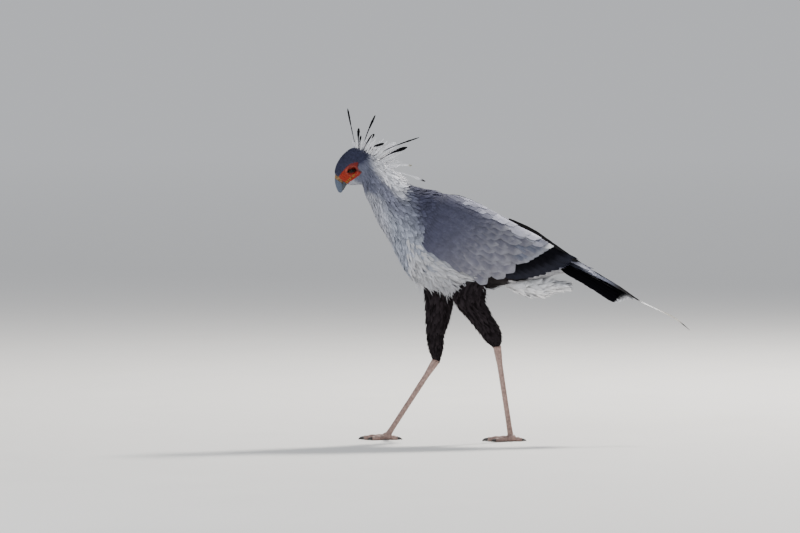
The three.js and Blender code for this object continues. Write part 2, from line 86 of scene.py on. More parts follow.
THIGHS = {
    LEFT: [
        [0.035, 0.520, 0.128, 0.566, 0.026, 0.046],
        [0.014, 0.478, 0.116, 0.500, 0.032, 0.046],
        [0.024, 0.448, 0.116, 0.455, 0.030, 0.046],
        [0.054, 0.414, 0.138, 0.414, 0.026, 0.045],
        [0.088, 0.372, 0.164, 0.370, 0.021, 0.044],
        [0.112, 0.340, 0.169, 0.346, 0.016, 0.044],
        [0.141, 0.312, 0.166, 0.322, 0.0115, 0.044],
    ],
    RIGHT: [
        [-0.092, 0.540, 0.016, 0.540, 0.028, 0.046],
        [-0.082, 0.492, 0.012, 0.487, 0.032, 0.046],
        [-0.080, 0.450, 0.008, 0.448, 0.029, 0.046],
        [-0.078, 0.406, -0.002, 0.404, 0.025, 0.045],
        [-0.075, 0.350, -0.020, 0.346, 0.020, 0.044],
        [-0.069, 0.302, -0.024, 0.298, 0.015, 0.044],
        [-0.057, 0.270, -0.033, 0.262, 0.0115, 0.044],
    ],
}
SKIN_DEPTH = 0.005
THIGH_SKIN_DEPTHS = np.array([0.002, 0.004, 0.004, 0.004, 0.003, 0.002, 0.001])
HEAD_ABOVE, SCALY_BELOW = 0.7, 0.42
HANGING_BLADES = 420

# Bill, cere, eyes and the bare face, whose outline is x and z seen from the side.
CERE = [[-0.379, 0.880, -0.350, 0.860, 0.0145], [-0.3805, 0.868, -0.352, 0.8494, 0.013]]
BILL = [
    [-0.3805, 0.8676, -0.352, 0.849, 0.0126],
    [-0.380, 0.857, -0.351, 0.840, 0.0114],
    [-0.378, 0.845, -0.3515, 0.8325, 0.0092],
    [-0.374, 0.8325, -0.3540, 0.8255, 0.006],
    [-0.3680, 0.8212, -0.3590, 0.819, 0.0024],
]
LOWER_BILL = [
    [-0.354, 0.862, -0.336, 0.856, 0.0104],
    [-0.356, 0.852, -0.3395, 0.847, 0.0108],
    [-0.358, 0.8425, -0.3445, 0.8388, 0.0092],
    [-0.361, 0.8345, -0.3495, 0.8308, 0.0066],
    [-0.363, 0.8286, -0.3540, 0.8262, 0.0034],
]
NOSTRIL = (-0.366, 0.862)
NOSTRIL_SIZE = (0.0032, 0.0014)
EYE = (-0.323, 0.0175, 0.892)
EYE_RADIUS = 0.0125
LID_RADIUS = 0.0142
LID_OPEN = (0.0110, 0.0048)
LID_EDGE = (0.0135, 0.0125)
EYE_SLANT = math.radians(13)
EYE_TURN = np.array([[math.cos(EYE_SLANT), math.sin(EYE_SLANT)], [-math.sin(EYE_SLANT), math.cos(EYE_SLANT)]])
LASHES = 44
FACE = [
    (-0.369, 0.868), (-0.356, 0.889), (-0.342, 0.905), (-0.327, 0.916), (-0.311, 0.922), (-0.303, 0.920),
    (-0.307, 0.907), (-0.303, 0.896), (-0.293, 0.889), (-0.302, 0.877), (-0.318, 0.865), (-0.341, 0.850),
    (-0.362, 0.851),
]
MOUTH = [(-0.350, 0.848), (-0.337, 0.859), (-0.326, 0.870), (-0.3155, 0.879)]
EYE_LINE = [(-0.309, 0.8955), (-0.2937, 0.8895)]
EYE_DARK = (0.0190, 0.0060)
# Line of the brow fold above the eye, where a highlight is painted.
BROW_LINE = [(-0.345, 0.8925), (-0.326, 0.9035), (-0.309, 0.9085)]

# Crest: root x and z, angle above the rear, length, width of the club near the tip, root y.
CREST = [
    [-0.310, 0.966, 102, 0.135, 0.007, 0.004],
    [-0.300, 0.964, 91, 0.069, 0.011, -0.005],
    [-0.291, 0.960, 69, 0.124, 0.008, 0.006],
    [-0.287, 0.956, 57, 0.069, 0.012, -0.008],
    [-0.284, 0.953, 24, 0.073, 0.010, -0.011],
    [-0.257, 0.938, 22.5, 0.168, 0.006, -0.004],
    [-0.256, 0.936, 32, 0.092, 0.016, 0.009],
    [-0.236, 0.924, 26, 0.106, 0.013, -0.010],
    [-0.214, 0.906, 2, 0.089, 0.008, 0.006],
    [-0.198, 0.893, -17, 0.122, 0.009, -0.007],
]
PALE_CREST = {6: linear(224, 224, 228), 8: linear(150, 146, 130), 9: linear(40, 38, 40)}
FAR_PLUMES = (1, 4)
CREST_WISPS = 34

# Folded wing: a slanting frame whose first axis runs back along the bird's back.
WING_ORIGIN = (-0.0365, 0.856)
WING_SLOPE = math.radians(28)
WING_DEPTH = 0.200
WING_LIFT = (0.0022, 0.010)
WING_END = 0.40
WING_FRONT, WING_FRONT_LEAN = 0.018, 0.14
SHOULDER_SET_BACK, SHOULDER_DEPTH = 0.022, 0.07
COVERTS_END, COVERTS_LEAN = 0.417, 0.46
FLIGHT_QUILLS, GREY_QUILLS, RIDGE_QUILLS = 13, 6, 5

# Tail and the pale feathers under it.
STREAMER_LINE = [
    (0.366, 0.604), (0.480, 0.551), (0.560, 0.506), (0.630, 0.461),
    (0.703, 0.426), (0.748, 0.402), (0.792, 0.366),
]
STREAMER_SHARE = {LEFT: 1.0, RIGHT: 0.93}
UNDERTAIL = [
    [0.190, 0.530, 0.176, 0.508, 0.022],
    [0.245, 0.532, 0.235, 0.490, 0.027],
    [0.310, 0.532, 0.300, 0.480, 0.027],
    [0.362, 0.524, 0.356, 0.496, 0.020],
    [0.398, 0.514, 0.396, 0.503, 0.009],
]
TAIL_PAIRS, TAIL_COVERTS = 5, 5

# Legs: the far, right leg leads and the near, left leg trails.
ANKLE_OUT = 0.044
ANKLES = {LEFT: (0.155, 0.315), RIGHT: (-0.044, 0.265)}
FEET = {LEFT: (0.201, 0.043), RIGHT: (-0.208, 0.043)}
SHANK_DEEP = [0.013, 0.012, 0.009, 0.0082, 0.0084, 0.010]
SHANK_WIDE = [0.011, 0.0105, 0.0076, 0.0072, 0.0076, 0.010]
SHANK_SHARES = [0, 0.07, 0.2, 0.6, 0.88, 1]
FOOT_HIGH = 0.012
FOOT_PAD = np.array([1.15, 0.95, 0.9]) * 0.015
SCUTES, SCUTE_LONG = 34, 0.005
SOLE_CUT = 0.0008
TOES = [
    ("inner", 31, 0.058, 0.0082, 0.017),
    ("middle", 0, 0.076, 0.0088, 0.019),
    ("outer", -31, 0.060, 0.0080, 0.016),
    ("rear", 172, 0.036, 0.0074, 0.015),
]

# Seeds of the random draws, and tries and spacing of scattered feathers.
SEEDS = {
    "coat": 5, "crest": 11, "wings": 31, "tail": 41, "undertail": 43, "thighs": 47, "flank": 53, "lashes": 61,
}
UNDERTAIL_TRIES, THIGH_TRIES, FLANK_TRIES = 20000, 50000, 70000
UNDERTAIL_GAP, FLANK_GAP = 0.0064, 0.0066

# Camera, as the photograph's, and the light of the background.
VIEW_WIDTH = 2.64
VIEW_CENTRE = (-0.165, 0.576)
CAMERA_HIGH = 1.39
LENS, SENSOR = 300.0, 36.0
CLIP_END = 200
SKY = (0.84, 0.86, 0.90, 1)
SKY_STRENGTH = 0.66

# Colours
CROWN = linear(50, 52, 72)
CHEEK = linear(96, 99, 116)
THROAT = linear(158, 160, 170)
NAPE = linear(232, 232, 236)
BREAST = linear(142, 147, 160)
BELLY = linear(168, 168, 172)
BACK = linear(68, 69, 88)
SCAPULAR = linear(172, 173, 190)
COVERT_GREY = linear(74, 75, 93)
COVERT_REAR = linear(98, 98, 111)
NECK_GREY = linear(112, 114, 130)
FLUFF = linear(188, 189, 194)
FLIGHT_BLACK = linear(11, 11, 15)
THIGH_BLACK = linear(30, 26, 28)
TAIL_GREY = linear(92, 96, 112)
WHITE = linear(232, 232, 234)
FACE_RED = linear(108, 9, 5)
FACE_ORANGE = linear(140, 30, 4)
GAPE_YELLOW = linear(158, 128, 30)
LEG_PINK = linear(158, 132, 124)
CREST_BLACK = linear(10, 10, 13)
EYE_RIM = linear(9, 7, 8)
UNDER_COAT = linear(150, 132, 134)
EYE_RING = linear(196, 120, 100)
# Painted highlight: the light on the fold of the brow above the eye.
BROW_HIGHLIGHT = linear(176, 92, 74)
# Painted shade in the crease of the mouth.
MOUTH_SHADE = linear(52, 20, 12)
CHIN_SKIN = linear(84, 86, 98)
LID_DARK = linear(104, 22, 8)
LASH_BLACK = linear(16, 13, 13)
QUILL_GREY = linear(70, 72, 86)
TAIL_COVERT_TONES = (linear(70, 72, 84), linear(150, 152, 164))
CREST_STEM = linear(30, 30, 38)
STREAMER_TONES = [
    (FLIGHT_BLACK, 0.20, 0.34),
    (WHITE, 0.47, 0.53),
    (linear(176, 172, 164), 0.60, 0.70),
    (FLIGHT_BLACK, 0.86, 0.90),
]
FLOOR = (0.80, 0.79, 0.77, 1)
FLOOR_REACH = 300
FLOOR_FADE = (3, 45)
IRIS_TONES = [
    (0.0, (0.003, 0.003, 0.003)),
    (0.17, (0.004, 0.003, 0.003)),
    (0.19, (0.05, 0.022, 0.010)),
    (0.33, (0.075, 0.035, 0.016)),
    (0.37, (0.012, 0.007, 0.005)),
    (1.0, (0.02, 0.012, 0.008)),
]

# Lights: name, place, power, size and colour, and the point that they shine at.
LIGHTS = [
    ("sun_side", (3.0, 4.2, 6.0), 1150, 1.1, (1.0, 0.96, 0.90)),
    ("fill_front", (-3.5, -5.5, 3.6), 210, 3.5, (0.92, 0.96, 1.0)),
]
LIGHTS_AIM = Vector((0, 0, 0.6))

eye_low, eye_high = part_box("eye_left")
OFFSET = np.array((eye_low + eye_high) / 2) - np.array([EYE[0], -EYE[1], EYE[2]])


def mix(a, b, share):
    return a + (b - a) * share


def blend(a, b, share):
    """Colours between two, by one share a place."""
    return mix(a, b, share[:, None])


def band(distance, width):
    """1 on a line, and less with the distance from it."""
    return np.exp(-(distance / width) ** 2)


def each(values):
    """One number a feather, shaped to meet the feathers' grids of points."""
    return values[:, None, None]


def step(value, low, high):
    share = np.clip((value - low) / (high - low), 0, 1)
    return share * share * (3 - 2 * share)


def unit(vectors):
    return vectors / np.maximum(np.linalg.norm(vectors, axis=-1, keepdims=True), 1e-12)


def smooth(rows, steps):
    """Rows of numbers made denser along a smooth curve through them."""
    rows = np.array(rows, float)
    padded = np.vstack([rows[:1], rows, rows[-1:]])
    out = []
    for i in range(len(rows) - 1):
        before, start, end, after = padded[i:i + 4]
        for t in np.arange(steps) / steps:
            bend = 2 * before - 5 * start + 4 * end - after
            turn = 3 * start - before - 3 * end + after
            out.append(0.5 * (2 * start + (end - before) * t + bend * t ** 2 + turn * t ** 3))
    return np.array(out + [rows[-1]])


def circle(many):
    """Even turns round a circle."""
    return np.arange(many) * 2 * math.pi / many


def shrunk(rows, depth):
    """Sections drawn in by a depth on every side."""
    rows = np.array(rows, float)
    axis = unit(rows[:, 0:2] - rows[:, 2:4]) * np.reshape(depth, (-1, 1))
    rows[:, 0:2] -= axis
    rows[:, 2:4] += axis
    rows[:, 4] -= depth
    return rows


class Loft:
    """A smooth form through section rows, read at a share along it and a turn around it."""

    def __init__(self, rows, steps=8, side=1):
        dense = smooth(rows, steps)
        if dense.shape[1] == 5:
            dense = np.hstack([dense, np.zeros((len(dense), 1))])
        dense[:, 5] *= side
        self.rows = dense

    def point(self, along, turn):
        place = np.asarray(along) * (len(self.rows) - 1)
        low = np.clip(np.floor(place).astype(int), 0, len(self.rows) - 2)
        share = (place - low)[..., None]
        row = mix(self.rows[low], self.rows[low + 1], share)
        up = np.cos(turn) / 2
        ux, uz, lx, lz, half, y = np.moveaxis(row, -1, 0)
        half = np.maximum(half, 0.0005)
        return np.stack(
            [(ux + lx) / 2 + (ux - lx) * up, y + half * np.sin(turn), (uz + lz) / 2 + (uz - lz) * up], -1
        )

    def rings(self, many, sides):
        return self.point(*np.meshgrid(np.linspace(0, 1, many), circle(sides), indexing="ij"))

    def frame(self, along, turn, reach=2e-3):
        """Point, outward normal, and the stretch along and around."""
        ahead = (self.point(along + reach, turn) - self.point(along - reach, turn)) / (2 * reach)
        around = (self.point(along, turn + 0.01) - self.point(along, turn - 0.01)) / 0.02
        normal = unit(np.cross(ahead, around))
        place = self.point(along, turn)
        centre = (place + self.point(along, turn + math.pi)) / 2
        outward = np.sum(normal * (place - centre), -1, keepdims=True)
        return place, normal * np.sign(outward), ahead, around


BED = smooth(HEAD_SECTIONS[-1:] + NECK_SECTIONS + TORSO_SECTIONS + WING_BED_END, 6)


def drape(x, z, side, lift):
    """Places on the body's side, seen at x and z, lifted off it, with their outward normals."""
    ux, uz, lx, lz, half = (column[None, :] for column in BED.T)
    offset = (ux - lx) * (z[:, None] - lz) - (uz - lz) * (x[:, None] - lx)
    passed = offset[:, 1:] >= 0
    i = np.where(passed.any(1), passed.argmax(1), len(BED) - 2)
    i = np.minimum(i, len(BED) - 2)
    many = np.arange(len(x))
    first, last = offset[many, i], offset[many, i + 1]
    share = np.clip(first / (first - last), 0, 1)[:, None]
    ux, uz, lx, lz, half = mix(BED[i], BED[i + 1], share).T
    mx, mz, hx, hz = (ux + lx) / 2, (uz + lz) / 2, (ux - lx) / 2, (uz - lz) / 2
    high = np.hypot(hx, hz)
    wanted = ((x - mx) * hx + (z - mz) * hz) / high ** 2
    up = np.clip(wanted, -0.97, 0.97)
    out = np.sqrt(1 - up * up)
    normal = unit(np.stack([up * hx / high ** 2, out / half * side, up * hz / high ** 2], -1))
    sx, sz = x - mx - wanted * hx, z - mz - wanted * hz
    place = np.stack([mx + hx * up + sx, side * half * out, mz + hz * up + sz], -1)
    place += normal * lift[:, None]
    keep = np.maximum(0.0315 * step(x, 0.240, 0.330), np.where(up < 0, 0.84 * half, 0))
    place[:, 1] = side * np.maximum(np.abs(place[:, 1]), keep + lift)
    return place, normal


def piece(name, places, faces, slot, nodes, material, tint=None, uvs=None):
    """A mesh of the model, with the nodes it replaces, and the colours and maps of its points."""
    mesh = bpy.data.meshes.new(name)
    mesh.from_pydata(np.asarray(places) + OFFSET, [], faces)
    mesh.polygons.foreach_set("use_smooth", np.ones(len(mesh.polygons), bool))
    corners = np.zeros(len(mesh.loops), int)
    mesh.loops.foreach_get("vertex_index", corners)
    if tint is not None:
        layer = mesh.color_attributes.new("tint", "FLOAT_COLOR", "POINT")
        rgba = np.hstack([tint, np.ones((len(tint), 1))])
        layer.data.foreach_set("color", rgba.astype(np.float32).ravel())
    for label, coordinates in (uvs or {}).items():
        layer = mesh.uv_layers.new(name=label)
        layer.data.foreach_set("uv", coordinates[corners].astype(np.float32).ravel())
    thing = bpy.data.objects.new(name, mesh)
    bpy.context.scene.collection.objects.link(thing)
    mesh.materials.append(material)
    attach(thing, "root")
    if nodes:
        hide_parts(*nodes)
    return thing


def grid_faces(count, rows, columns, closed=False):
    """Quads of many like grids of points that follow one another."""
    wrap = columns if closed else columns - 1
    i, j = np.meshgrid(np.arange(rows - 1), np.arange(wrap), indexing="ij")
    k = (j + 1) % columns
    quad = np.stack([i * columns + j, i * columns + k, (i + 1) * columns + k, (i + 1) * columns + j], -1)
    start = np.arange(count) * rows * columns
    return (quad.reshape(1, -1, 4) + start[:, None, None]).reshape(-1, 4)


def tube(rings):
    """Points and faces of a closed form through rings of points, with both ends drawn to a point."""
    rings = np.asarray(rings)
    first = np.repeat(rings[:1].mean(1, keepdims=True), rings.shape[1], 1)
    last = np.repeat(rings[-1:].mean(1, keepdims=True), rings.shape[1], 1)
    full = np.concatenate([first, rings, last])
    return full.reshape(-1, 3), grid_faces(1, len(full), rings.shape[1], closed=True)


def along_path(path, deep, wide, across, sides, relief=None):
    """Rings round a path: deep towards the side that across leaves free, wide along it."""
    path = np.asarray(path, float)
    forward = unit(np.gradient(path, axis=0))
    up = unit(np.cross(across, forward))
    turn = circle(sides)
    shape = np.ones((len(path), sides)) if relief is None else 1 + relief(turn)
    rise = (np.asarray(deep)[:, None] * np.cos(turn) * shape)[..., None] * up[:, None]
    slide = (np.asarray(wide)[:, None] * np.sin(turn) * shape)[..., None] * np.asarray(across)[None, None]
    return path[:, None] + rise + slide


# Feathers
SMALL_PLACES = np.array([0, 0.22, 0.45, 0.68, 0.87, 1])
SMALL_SHARES = np.array([0.30, 0.82, 1, 0.94, 0.62, 0.10])
SOFT_SHARES = np.array([0.4, 0.8, 1, 0.75, 0.4, 0.06])
SMALL_COLUMNS = 3
SMALL_THICK = 0.0004
BODY_PATCH = (0.0, 0.0, 0.5, 0.5)
WING_PATCH = {LEFT: 0.52, RIGHT: 0.76}
UNDERTAIL_PATCH = (0.02, 0.55, 0.2, 0.2)
THIGH_PATCHES = {LEFT: (0.02, 0.78, 0.2, 0.2), RIGHT: (0.26, 0.78, 0.2, 0.2)}


class Coat:
    """Feathers gathered as sheets: a top and an underside that meet at the edges."""

    def __init__(self):
        self.places, self.faces, self.tints, self.vanes, self.bakes, self.count = [], [], [], [], [], 0

    def add(self, places, normals, tints, roots, lengths, thick):
        """Grids of points, one a feather, with the normals and colours of their points."""
        many, rows, columns, _ = places.shape
        across = np.linspace(-1, 1, columns)
        along = np.linspace(0, 1, rows)
        body = np.sqrt(1 - across ** 2)[None, :] * np.sin(math.pi * np.clip(along, 0.08, 1))[:, None] ** 0.5
        body = np.reshape(thick, (-1, 1, 1, 1)) * body[None, :, :, None] / 2
        top, under = places + normals * body, places - normals * body
        u = np.broadcast_to(across / 2 + 0.5, (many, rows, columns))
        v = along[None, :, None] * np.reshape(lengths, (-1, 1, 1)) / 0.05
        vane = np.stack([u, np.broadcast_to(v, u.shape)], -1)
        spread = np.stack([u - 0.5, np.broadcast_to(along[None, :, None], u.shape) - 0.5], -1)
        bake = np.clip(np.reshape(roots, (-1, 1, 1, 2)), 0.002, 0.998) + spread * 0.003
        for face, flip in ((top, False), (under, True)):
            quads = grid_faces(many, rows, columns) + self.count
            self.faces.append(quads[:, ::-1] if flip else quads)
            self.places.append(face.reshape(-1, 3))
            self.tints.append(np.broadcast_to(tints, places.shape).reshape(-1, 3))
            self.vanes.append(vane.reshape(-1, 2))
            self.bakes.append(bake.reshape(-1, 2))
            self.count += many * rows * columns

    def build(self, name, slot, nodes, material):
        stacks = (self.places, self.faces, self.tints, self.vanes, self.bakes)
        places, faces, tints, vanes, bakes = (np.concatenate(stack) for stack in stacks)
        return piece(name, places, faces, slot, nodes, material, tints, {"OFBake": bakes, "Vane": vanes})


def shaded(base, tip, rows, columns, edge=0.0, root=0.72, tip_from=0.72):
    """A feather's colours: darker at the root with painted shade, where the feathers over it cover it; its
    tip and edges towards the tip colour.
    """
    along = np.linspace(0, 1, rows)[None, :, None, None]
    across = np.abs(np.linspace(-1, 1, columns))[None, None, :, None]
    share = np.maximum(step(along, tip_from, mix(tip_from, 1, 0.6)), edge * across ** 2)
    base, tip = np.reshape(base, (-1, 1, 1, 3)), np.reshape(tip, (-1, 1, 1, 3))
    # root darkens the feather towards its root: painted shade under the feathers that lie over it
    return mix(base * mix(root, 1, step(along, 0, 0.6)), tip, share)


def scatter(loft, many, gaps, random, span=(0.0, 1.0), allowed=None):
    """Evenly spread shares and turns on a form; gaps gives shares along it and the spacing there."""
    along = random.uniform(*span, many)
    turn = random.uniform(-math.pi, math.pi, many)
    place, _, ahead, around = loft.frame(along, turn)
    gap = np.interp(along, *gaps)
    weight = np.linalg.norm(np.cross(ahead, around), axis=-1) / gap ** 2
    keep = random.uniform(0, 1, many) < weight / np.quantile(weight, 0.98)
    if allowed:
        keep &= allowed(turn, place)
    along, turn, place, gap = along[keep], turn[keep], place[keep], gap[keep]
    keys = np.floor(place / gap.max()).astype(int)
    near = [(a, b, c) for a in (-1, 0, 1) for b in (-1, 0, 1) for c in (-1, 0, 1)]
    taken, chosen = {}, []
    for i, ((p, q, r), (x, y, z), room) in enumerate(zip(keys.tolist(), place.tolist(), (gap ** 2).tolist())):
        others = (other for a, b, c in near for other in taken.get((p + a, q + b, r + c), ()))
        if all((x - u) ** 2 + (y - v) ** 2 + (z - w) ** 2 >= room for u, v, w in others):
            taken.setdefault((p, q, r), []).append((x, y, z))
            chosen.append(i)
    return along[chosen], turn[chosen], place[chosen]


def fan(long, wide, lean, places, shares, columns):
    """Grids of flat feathers: distance along and off the shaft, and along and across the lie of the coat."""
    run = places[None, :, None] * each(long)
    off = np.linspace(-1, 1, columns) * shares[None, :, None] * each(wide) / 2
    c, s = each(np.cos(lean)), each(np.sin(lean))
    return run, off, run * c - off * s, run * s + off * c


def lay(coat, loft, along, turn, lengths, widths, lean, base, tip, lift, rise,
        shares=SMALL_SHARES, patch=BODY_PATCH, curl=0.0, root=0.8):
    """Feathers laid along a form: lean turns them round it, they rise from lift by rise at the tip, and root
    sets the painted shade at their roots.
    """
    _, _, ahead, around = loft.frame(along, turn)
    pace = np.maximum(np.linalg.norm(ahead, axis=-1), 0.05)
    swing = np.maximum(np.linalg.norm(around, axis=-1), 0.004)
    _, off, forward, aside = fan(lengths, widths, lean, SMALL_PLACES, shares, SMALL_COLUMNS)
    u, v = each(along) + forward / each(pace), each(turn) + aside / each(swing)
    place, normal, _, _ = loft.frame(np.minimum(u, 1.06), v)
    risen = SMALL_PLACES[None, :, None] ** (1 + curl)
    height = each(lift) + each(rise) * risen - 0.12 * np.abs(off)
    place = place + normal * height[..., None]
    left, low, wide, high = patch
    roots = np.stack([left + wide * along, low + high * (turn / (2 * math.pi) % 1)], -1)
    tints = shaded(base, tip, len(SMALL_PLACES), SMALL_COLUMNS, root=root)
    coat.add(place, normal, tints, roots, lengths, SMALL_THICK)


def blade(path, half, across, rows, columns=5, ridge=0.0, ragged=0.0, random=None):
    """Points and normals of one long feather along a path, with half widths along it."""
    path = np.asarray(path, float)
    t = np.linspace(0, 1, rows)
    line = smooth(path, 12)
    spots = np.linspace(0, 1, len(line))
    centre = np.stack([np.interp(t, spots, line[:, k]) for k in range(3)], -1)
    wide = np.interp(t, np.linspace(0, 1, len(half)), half)
    forward = unit(np.gradient(centre, axis=0))
    side = unit(across - np.sum(forward * across, -1, keepdims=True) * forward)
    up = unit(np.cross(forward, side))
    a = np.linspace(-1, 1, columns)
    reach = a[None, :] * wide[:, None]
    if ragged:
        reach = reach * (1 - ragged * random.random((rows, 1)) * np.abs(a[None, :]) ** 3)
    drop = ridge * (1 - np.abs(a)[None, :]) * (wide / wide.max())[:, None]
    grid = centre[:, None] + side[:, None] * reach[..., None] + up[:, None] * drop[..., None]
    return grid[None], np.broadcast_to(up[:, None], grid.shape)[None]


# Materials
def feed(tree, node, inputs):
    """Sets inputs of a node to values, or links them to the outputs of other nodes."""
    for label, value in inputs.items():
        if isinstance(value, bpy.types.NodeSocket):
            tree.links.new(value, node.inputs[label])
        else:
            node.inputs[label].default_value = value


def add(tree, kind, inputs=None, **settings):
    """A new shader node, by its outputs."""
    node = tree.nodes.new("ShaderNode" + kind)
    for name, value in settings.items():
        setattr(node, name, value)
    feed(tree, node, inputs or {})
    return node.outputs


def shader_of(name):
    material = bpy.data.materials.new(name)
    material.use_nodes = True
    tree = material.node_tree
    return material, tree, tree.nodes["Principled BSDF"]


def noise(tree, scale):
    place = add(tree, "TexCoord")["Object"]
    return add(tree, "TexNoise", {"Vector": place, "Scale": scale, "Detail": 4})["Fac"]


def ramp(tree, source, low, high, first, last):
    """A number turned into another range of numbers."""
    ends = {"From Min": low, "From Max": high, "To Min": first, "To Max": last}
    return add(tree, "MapRange", {"Value": source, **ends})["Result"]


def tones(tree, share, stops):
    """Colours blended between stops, each with its place from 0 to 1."""
    node = tree.nodes.new("ShaderNodeValToRGB")
    elements = node.color_ramp.elements
    first, *middle, last = stops
    for element, (at, colour) in zip(elements, (first, last)):
        element.position, element.color = at, (*colour, 1)
    for at, colour in middle:
        elements.new(at).color = (*colour, 1)
    feed(tree, node, {"Fac": share})
    return node.outputs["Color"]


def times(tree, first, second):
    return add(tree, "Math", {0: first, 1: second}, operation="MULTIPLY")["Value"]


def painted(tree, share):
    """The colours painted on the mesh, lighter or darker by a share."""
    tint = add(tree, "Attribute", attribute_name="tint")["Color"]
    return add(tree, "VectorMath", {0: tint, "Scale": share}, operation="SCALE")["Vector"]


def bump(tree, height, strength, distance):
    return add(tree, "Bump", {"Strength": strength, "Distance": distance, "Height": height})["Normal"]


def feather_material(name, roughness, barbs, gloss):
    """Plumage: the feather's own colours under its fine barbs."""
    material, tree, shader = shader_of(name)
    place = add(tree, "UVMap", uv_map="Vane")["UV"]
    shape = {"Vector": place, "Scale": 14, "Distortion": 3, "Detail": 2}
    wave = add(tree, "TexWave", shape, wave_type="BANDS", bands_direction="Y")["Fac"]
    fine = ramp(tree, wave, 0, 1, 1 - barbs, 1 + barbs)
    patchy = ramp(tree, noise(tree, 60), 0.3, 0.7, 0.86, 1.12)
    feed(tree, shader, {
        "Base Color": painted(tree, times(tree, fine, patchy)),
        "Roughness": roughness,
        "Specular IOR Level": gloss,
        "Normal": bump(tree, wave, 0.35, 0.0004),
    })
    return material


def skin_material(name, roughness, cell, depth):
    """Bare skin: its painted colours, mottled and darker with painted shade where a crease runs between the
    cells, over a fine relief of cells and crease lines.
    """
    material, tree, shader = shader_of(name)
    place = add(tree, "TexCoord")["Object"]
    cells = add(tree, "TexVoronoi", {"Vector": place, "Scale": cell})["Distance"]
    # Painted shade: darker in each crease between the cells.
    crease_shade = ramp(tree, cells, 0, 0.7, 1.08, 0.82)
    mottle = ramp(tree, noise(tree, cell / 4), 0.3, 0.7, 0.66, 1.26)
    feed(tree, shader, {
        "Base Color": painted(tree, times(tree, crease_shade, mottle)),
        "Roughness": ramp(tree, noise(tree, cell), 0.3, 0.7, roughness - 0.08, roughness + 0.1),
        "Specular IOR Level": 0.22,
        "Subsurface Weight": 0.03,
        "Subsurface Scale": 0.003,
        "Normal": bump(tree, cells, 0.5, depth),
    })
    return material


def horn_material(name, low, high, roughness):
    """Horn: two tones in long streaks with a worn gloss."""
    material, tree, shader = shader_of(name)
    place = add(tree, "TexCoord")["Object"]
    place = add(tree, "Mapping", {"Vector": place, "Scale": (260, 260, 60)})["Vector"]
    streaks = add(tree, "TexNoise", {"Vector": place, "Detail": 5})["Fac"]
    feed(tree, shader, {
        "Base Color": tones(tree, streaks, [(0.35, low), (0.68, high)]),
        "Roughness": ramp(tree, streaks, 0.3, 0.7, roughness, roughness + 0.18),
        "Normal": bump(tree, streaks, 0.3, 0.0003),
    })
    return material


def eye_material():
    """A dark brown iris round a black pupil, under a clear wet coat."""
    material, tree, shader = shader_of("eye")
    place = add(tree, "UVMap", uv_map="Iris")["UV"]
    out = add(tree, "SeparateXYZ", {"Vector": place})["X"]
    share = add(tree, "Math", {0: noise(tree, 900), 1: 0.02, 2: out}, operation="MULTIPLY_ADD")["Value"]
    feed(tree, shader, {
        "Base Color": tones(tree, share, IRIS_TONES),
        "Roughness": 0.35,
        "Specular IOR Level": 0.1,
        "Coat Weight": 0.15,
        "Coat Roughness": 0.03,
    })
    return material


PLUME = feather_material("plume", 0.8, 0.14, 0.15)
DOWN = feather_material("down", 0.95, 0.08, 0.1)
DARK_PLUME = feather_material("dark_plume", 0.85, 0.22, 0.03)
BARE = skin_material("bare_skin", 0.5, 900, 0.0005)
SCALY = skin_material("scaly_skin", 0.45, 420, 0.0006)
HORN = horn_material("horn", linear(44, 54, 72), linear(86, 99, 120), 0.36)
LOWER_HORN = horn_material("lower_horn", linear(30, 34, 40), linear(66, 74, 84), 0.42)
CERE_HORN = horn_material("cere_horn", linear(74, 40, 24), linear(146, 116, 68), 0.5)
CLAW = horn_material("claw", linear(20, 19, 20), linear(62, 58, 56), 0.3)


# Skin of the head, neck, body, thighs, shanks and feet
def edge_distance(x, z, starts, ends):
    """Distance from the nearest of some straight edges."""
    edge = ends - starts
    away = np.stack([x, z], -1)[..., None, :] - starts
    share = np.clip(np.sum(away * edge, -1) / np.sum(edge * edge, -1), 0, 1)
    return np.linalg.norm(away - share[..., None] * edge, axis=-1).min(-1)


def line_distance(x, z, corners):
    """Distance from an open line through corners."""
    return edge_distance(x, z, np.array(corners[:-1]), np.array(corners[1:]))


def outline_distance(x, z, corners):
    """Distance from a closed outline, negative inside it."""
    starts = np.array(corners)
    ends = np.roll(starts, -1, 0)
    gap = edge_distance(x, z, starts, ends)
    edge = ends - starts
    above = (starts[:, 1] > z[..., None]) != (ends[:, 1] > z[..., None])
    fall = np.where(edge[:, 1] == 0, 1e-9, edge[:, 1])
    cross = starts[:, 0] + (z[..., None] - starts[:, 1]) * edge[:, 0] / fall
    inside = np.sum(above & (x[..., None] < cross), -1) % 2 == 1
    return np.where(inside, -gap, gap)


def eye_dark(dx, dz):
    """Share of the dark skin that widens the eye's almond, by place from its centre."""
    along = dx * math.cos(EYE_SLANT) + dz * math.sin(EYE_SLANT)
    up = dz * math.cos(EYE_SLANT) - dx * math.sin(EYE_SLANT)
    reach = np.abs(along / EYE_DARK[0]) ** 1.5 + np.abs(up / EYE_DARK[1]) ** 1.5
    return step(reach, 1.15, 0.8)


